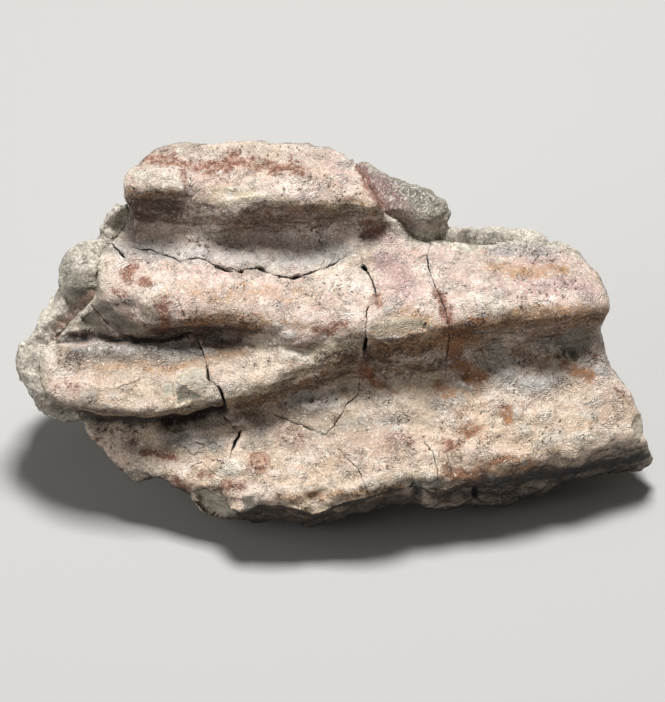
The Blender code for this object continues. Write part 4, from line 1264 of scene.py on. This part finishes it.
def boneMaterial():
    m = Finish("weathered_bone", boneTones, boneStains)
    place = m.facePlace()
    broad = m.noise(place, 9, 2)
    cloud = m.noise(place, 3.0, 4, 0.65, 0.4)
    patch = m.noise(place, 4.5, 5, 0.7, 0.6, (1.6, 1, 1))
    dust = m.noise(place, 1.1, 6, 0.85)
    grime = m.noise(place, 1.7, 6, 0.8, 0.3)
    speck = m.noise(place, 0.26, 2, 0.7)
    dots = m.noise(place, 0.4, 1, 0.5)
    streak = m.noise(place, 1.0, 5, 0.7, 0.5, (3.5, 0.9, 0.9))
    mottle = m.noise(place, 1.6, 4, 0.6, 0.9)
    steep = m.painted("steep")

    m.colour = m.blend(m.span(broad, 0.4, 0.6), "cream", "rosy")
    m.coat(m.span(cloud, 0.5, 0.66, 0, 0.6), "ashen")
    m.coat(m.span(patch, 0.5, 0.38, 0, 0.35), "tan")
    m.coat(m.span(patch, 0.53, 0.66, 0, 0.7), "ivory")
    m.coat(m.span(mottle, 0.53, 0.62, 0, 0.35), "ashen")
    m.coat(m.span(mottle, 0.46, 0.38, 0, 0.35), "ivory")
    m.coat(m.times(m.painted("low"), m.span(patch, 0.35, 0.62, 0.7, 0.25)), "peach")
    # the hollows are laid over with a darker grey: partly their grey tone, partly painted shade
    m.coat(m.times(m.painted("trough"), 0.4), "trough")
    pearl = m.most(m.painted("pearl"), m.times(m.painted("nodule"), 0.85))
    pearlEdge = m.times(m.times(pearl, m.rest(pearl)), 1.6)
    m.coat(m.times(pearlEdge, m.span(grime, 0.4, 0.6)), "ochre")
    pearlTone = m.blend(m.span(broad, 0.4, 0.6), "pearl", "pearlBlue")
    m.coat(m.span(pearl, 0.2, 0.9, 0, 0.5), pearlTone)
    for name in ("dusk", "slate", "violet", "pale", "olive"):
        m.stain(name, dust)
    rings = m.calc("SINE", m.times(m.painted("ringTurns"), 2 * math.pi))
    rings = m.times(m.span(rings, 0.1, 0.9), m.painted("ringed"))
    rings = m.times(rings, m.span(dust, 0.4, 0.56, 0.25, 0.8))
    m.coat(m.times(m.painted("ringed"), 0.6), "rustLight")
    m.coat(rings, "rust")
    contour = m.noise(place, 2.4, 3, 0.6, 0.8)
    squiggle = m.calc("ABSOLUTE", m.minus(contour, 0.5))
    wormy = m.most(m.span(patch, 0.5, 0.58, 0, 0.65), m.painted("slate"))
    m.coat(m.times(m.span(squiggle, 0.012, 0.003), wormy), "fleck")
    squiggle = m.calc("ABSOLUTE", m.minus(contour, 0.56))
    m.coat(m.times(m.span(squiggle, 0.012, 0.003), m.span(broad, 0.5, 0.58, 0, 0.7)), "ivory")
    agate = m.calc("SINE", m.times(contour, 56))
    agate = m.times(m.span(agate, 0.8, 0.97), m.span(m.painted("olive"), 0.3, 0.8, 0, 0.6))
    # the risers, which face down, are laid over with umber and earth browns: partly their own brown, partly
    # painted shade
    umberTone = m.blend(m.span(grime, 0.46, 0.6), "umber", "earth")
    m.coat(m.times(steep, m.span(streak, 0.38, 0.6, 0.9, 0.4)), umberTone)
    m.stain("umber", grime)
    m.stain("earth", grime)
    m.stain("ochre", dust)
    m.coat(agate, "rim")
    rustTone = m.blend(m.span(dust, 0.4, 0.6), "rustLight", "rust")
    m.stain("rust", dust, rustTone)
    ironTone = m.blend(m.span(grime, 0.42, 0.58), "rust", "iron")
    m.stain("iron", grime, ironTone)

    rind = m.rest(m.painted("scar"))
    grain = m.times(m.span(dust, 0.3, 0.68, 0.8, 1.12), m.span(speck, 0.3, 0.68, 0.76, 1.16))
    grit = m.timesPlus(m.minus(m.cellLuck(place, 0.21), 0.5), 0.26, 1.0)
    # the grain is made darker and harsher on the risers and in the hollows: painted shade
    shadedZone = m.most(steep, m.painted("trough"))
    grain = m.calc("POWER", m.times(grain, grit), m.timesPlus(shadedZone, 1.1, 1.0))
    crowd = m.span(cloud, 0.48, 0.68, -0.11, 0.05)
    edge = m.times(steep, m.rest(steep))
    crowders = ((m.painted("rust"), 0.09), (m.painted("earth"), 0.12), (edge, 0.2), (steep, 0.05))
    for source, share in crowders:
        crowd = m.timesPlus(source, share, crowd)
    brown = m.span(m.calc("ADD", dots, crowd), 0.63, 0.7, 0, 0.85)
    brown = m.most(brown, m.span(m.painted("pore"), 0.3, 0.75, 0, 0.8))
    m.coat(m.times(brown, rind), "fleck")
    # pale flecks, fewer on the risers and on rust: partly pale specks, partly painted glints
    bare = m.times(rind, m.timesPlus(steep, -0.6, 1.0))
    paleFleckAndGlint = m.times(m.span(dots, 0.36, 0.3, 0, 0.6), bare)
    paleFleckAndGlint = m.times(paleFleckAndGlint, m.rest(m.painted("rust")))
    m.coat(paleFleckAndGlint, "ivory")

    scarTone = m.blend(m.painted("murk"), "scar", "murk")
    scarTone = m.blend(m.span(mottle, 0.42, 0.62, 0, 0.4), scarTone, "ashen")
    scarTone = m.blend(m.span(streak, 0.5, 0.36, 0, 0.5), scarTone, "umber")
    scar = m.timesPlus(m.minus(dust, 0.5), 0.6, m.painted("scar"))
    m.coat(m.span(scar, 0.35, 0.75, 0, 0.88), scarTone)
    # the painted shade strokes, laid over the scars
    m.coat(m.painted("paintedShade"), "paintedShade")
    m.coat(m.dusted("rim", dust, 2.2, 0.5, 1.0), "rim")
    shake = m.times(m.minus(dots, 0.5), 0.25)
    # the thin light lines: partly pale edges, partly painted highlights
    m.coat(m.times(m.drawnLine("light", shake), 0.8), "rim")
    m.coat(m.times(m.painted("broken"), 0.75), "broken")
    m.coat(1.0, m.grey(grain), "MULTIPLY")
    gritty = m.blend(m.cellLuck(place, 0.4), "gritDark", "gritLight")
    m.coat(m.times(m.dusted("rocky", dust, 2.0, 0.3, 0.9), 0.85), gritty)
    # painted shade: the undersides darkened nearly to black
    m.coat(m.times(m.painted("under"), m.span(dust, 0.35, 0.65, 0.98, 0.8)), "paintedShade")
    dark = m.most(m.drawnLine("crack", shake), m.span(m.painted("gaped"), 0.4, 0.75))
    m.coat(dark, "crack")

    sheen = m.timesPlus(dust, 0.3, m.span(mottle, 0.4, 0.62, 0.42, 0.2))
    sheen = m.timesPlus(m.painted("scar"), -0.12, sheen)
    sheen = m.timesPlus(pearl, -0.15, sheen)
    sheen = m.timesPlus(steep, 0.15, sheen)
    terrace = m.calc("SINE", m.times(contour, 60))
    terrace = m.times(terrace, m.span(cloud, 0.46, 0.56, 0, 0.4))
    height = m.timesPlus(speck, 0.8, m.times(dust, 1.5))
    height = m.timesPlus(mottle, 1.8, m.calc("ADD", height, terrace))
    height = m.timesPlus(streak, m.times(steep, 1.5), height)
    height = m.minus(height, m.times(brown, 0.5))
    height = m.times(height, m.timesPlus(rind, 0.6, 0.4))
    height = m.minus(height, m.times(dark, 1.5))
    return m.done(sheen, height, bumpReach["bone"])


rockTones = {
    "deep": tone(92, 85, 74),
    "green": tone(156, 149, 134),
    "grey": tone(190, 182, 168),
    "bright": tone(238, 234, 222),
    "violet": tone(132, 100, 98),
    "rust": tone(132, 92, 80),
    "rosy": tone(194, 160, 144),
    "pale": tone(216, 206, 190),
    "shade": tone(84, 80, 70),
    "weathered": tone(146, 130, 106),
    "seam": tone(110, 84, 66),
}
rockStains = {  # as for the bone, in the order that they are laid on
    "pale": (1.2, 0.75, 1.0),
    "shade": (1.2, 0.8, 1.0),
    "violet": (1.6, 0.85, 1.0),
    "rust": (1.8, 0.85, 1.0),
    "rosy": (1.4, 0.85, 1.0),
    "weathered": (1.4, 0.5, 1.0),
}


def rockMaterial():
    m = Finish("grey_matrix", rockTones, rockStains)
    place = m.facePlace()
    broad = m.noise(place, 6, 3)
    dust = m.noise(place, 1.2, 6, 0.85)
    speck = m.noise(place, 0.34, 2, 0.6)
    fibre = m.noise(place, 0.6, 3, 0.6, 0.3, (1, 5, 1))
    grains = m.cells(place, 0.5).outputs["Distance"]
    luck = m.cellLuck(place, 0.5)

    m.colour = m.blend(m.span(broad, 0.38, 0.62), "green", "grey")
    m.coat(m.span(dust, 0.5, 0.35, 0, 0.6), "deep")
    m.coat(m.span(luck, 0.45, 0.1, 0, 0.55), "deep")
    for name in rockStains:
        m.stain(name, dust)
    m.coat(m.times(m.painted("hidden"), m.span(broad, 0.45, 0.7, 0, 0.6)), "weathered")
    rough = m.rest(m.painted("worn"))
    glints = m.times(m.span(speck, 0.58, 0.63, 0, 0.9), m.timesPlus(rough, 0.6, 0.4))
    glints = m.times(glints, m.span(broad, 0.4, 0.6, 0.15, 0.8))
    glints = m.times(glints, m.timesPlus(m.painted("violet"), -0.8, 1.0))
    m.coat(glints, "bright")
    m.coat(m.times(m.span(fibre, 0.54, 0.6, 0, 0.7), m.painted("violet")), "pale")
    m.coat(m.times(m.span(dust, 0.6, 0.7, 0, 0.7), rough), "bright")
    m.coat(m.times(m.painted("seam"), 0.5), "seam")
    grain = m.times(m.span(speck, 0.3, 0.66, 0.7, 1.14), m.span(dust, 0.3, 0.7, 0.74, 1.12))
    m.coat(1.0, m.grey(grain), "MULTIPLY")
    sheen = m.span(m.cellLuck(place, 0.3), 0.75, 0.95, 0.65, 0.2)

    height = m.timesPlus(grains, -0.7, m.times(dust, 2.4))
    height = m.timesPlus(speck, 0.7, height)
    height = m.times(height, m.timesPlus(rough, 0.6, 0.4))
    height = m.timesPlus(fibre, m.times(m.painted("violet"), 1.5), height)
    return m.done(sheen, height, bumpReach["rock"])


stage = {
    "floorSize": 3.0,
    "floorTone": tone(168, 167, 165),
    "floorRoughness": 0.85,
    "world": (0.52, 0.5, 0.47, 1),
    "worldStrength": 0.22,
    "lights": [  # name, place in metres, size, watts
        ("key", (0.02, 0.12, 0.64), 0.17, 7.0),
        ("fill", (-0.62, -0.2, 0.3), 0.5, 1.6),
    ],
    "distance": 1.2,
    "elevation": math.radians(45),
    "frame": (665, 702),  # the picture's size in pixels
    "pixel": 0.142,  # what one of them covers at the face's origin
    "originPixel": (335, 335),
}


def lookAt(thing, target):
    away = thing.location - target
    thing.rotation_euler = away.to_track_quat("Z", "Y").to_euler()


def setStage():
    target = Vector(face["place"]) * face["metres"]
    bpy.ops.mesh.primitive_plane_add(size=stage["floorSize"], location=(0, 0, -0.0001))
    floor = bpy.context.object
    floor.name = "floor"
    pale = Finish("pale_floor")
    pale.feed(stage["floorTone"], pale.shader.inputs["Base Color"])
    pale.feed(stage["floorRoughness"], pale.shader.inputs["Roughness"])
    floor.data.materials.append(pale.material)

    for name, place, size, watts in stage["lights"]:
        lamp = bpy.data.lights.new(name, "AREA")
        lamp.size = size
        lamp.energy = watts
        holder = bpy.data.objects.new(name, lamp)
        holder.location = place
        lookAt(holder, target)
        bpy.context.collection.objects.link(holder)
    world = bpy.data.worlds.new("studio")
    world.use_nodes = True
    world.node_tree.nodes["Background"].inputs["Color"].default_value = stage["world"]
    world.node_tree.nodes["Background"].inputs["Strength"].default_value = stage["worldStrength"]
    bpy.context.scene.world = world

    wide, high = stage["frame"]
    camera = bpy.data.cameras.new("camera")
    camera.sensor_fit = "AUTO"
    camera.sensor_width = 36
    camera.lens = camera.sensor_width * stage["distance"] / (high * stage["pixel"] * face["metres"])
    camera.shift_x = (wide / 2 - stage["originPixel"][0]) / high
    camera.shift_y = (stage["originPixel"][1] - high / 2) / high
    viewer = bpy.data.objects.new("camera", camera)
    raised = Vector((0, -math.cos(stage["elevation"]), math.sin(stage["elevation"])))
    viewer.location = target + stage["distance"] * raised
    lookAt(viewer, target)
    bpy.context.collection.objects.link(viewer)
    bpy.context.scene.camera = viewer
    bpy.context.scene.view_settings.view_transform = "Standard"
    print("stage set")


bone = makeBone(boneMaterial())
boneInFace = bone.data.copy()
boneInFace.transform(faceMatrix().inverted())
makeRock(rockMaterial(), boneInFace)
bpy.data.meshes.remove(boneInFace)
setStage()
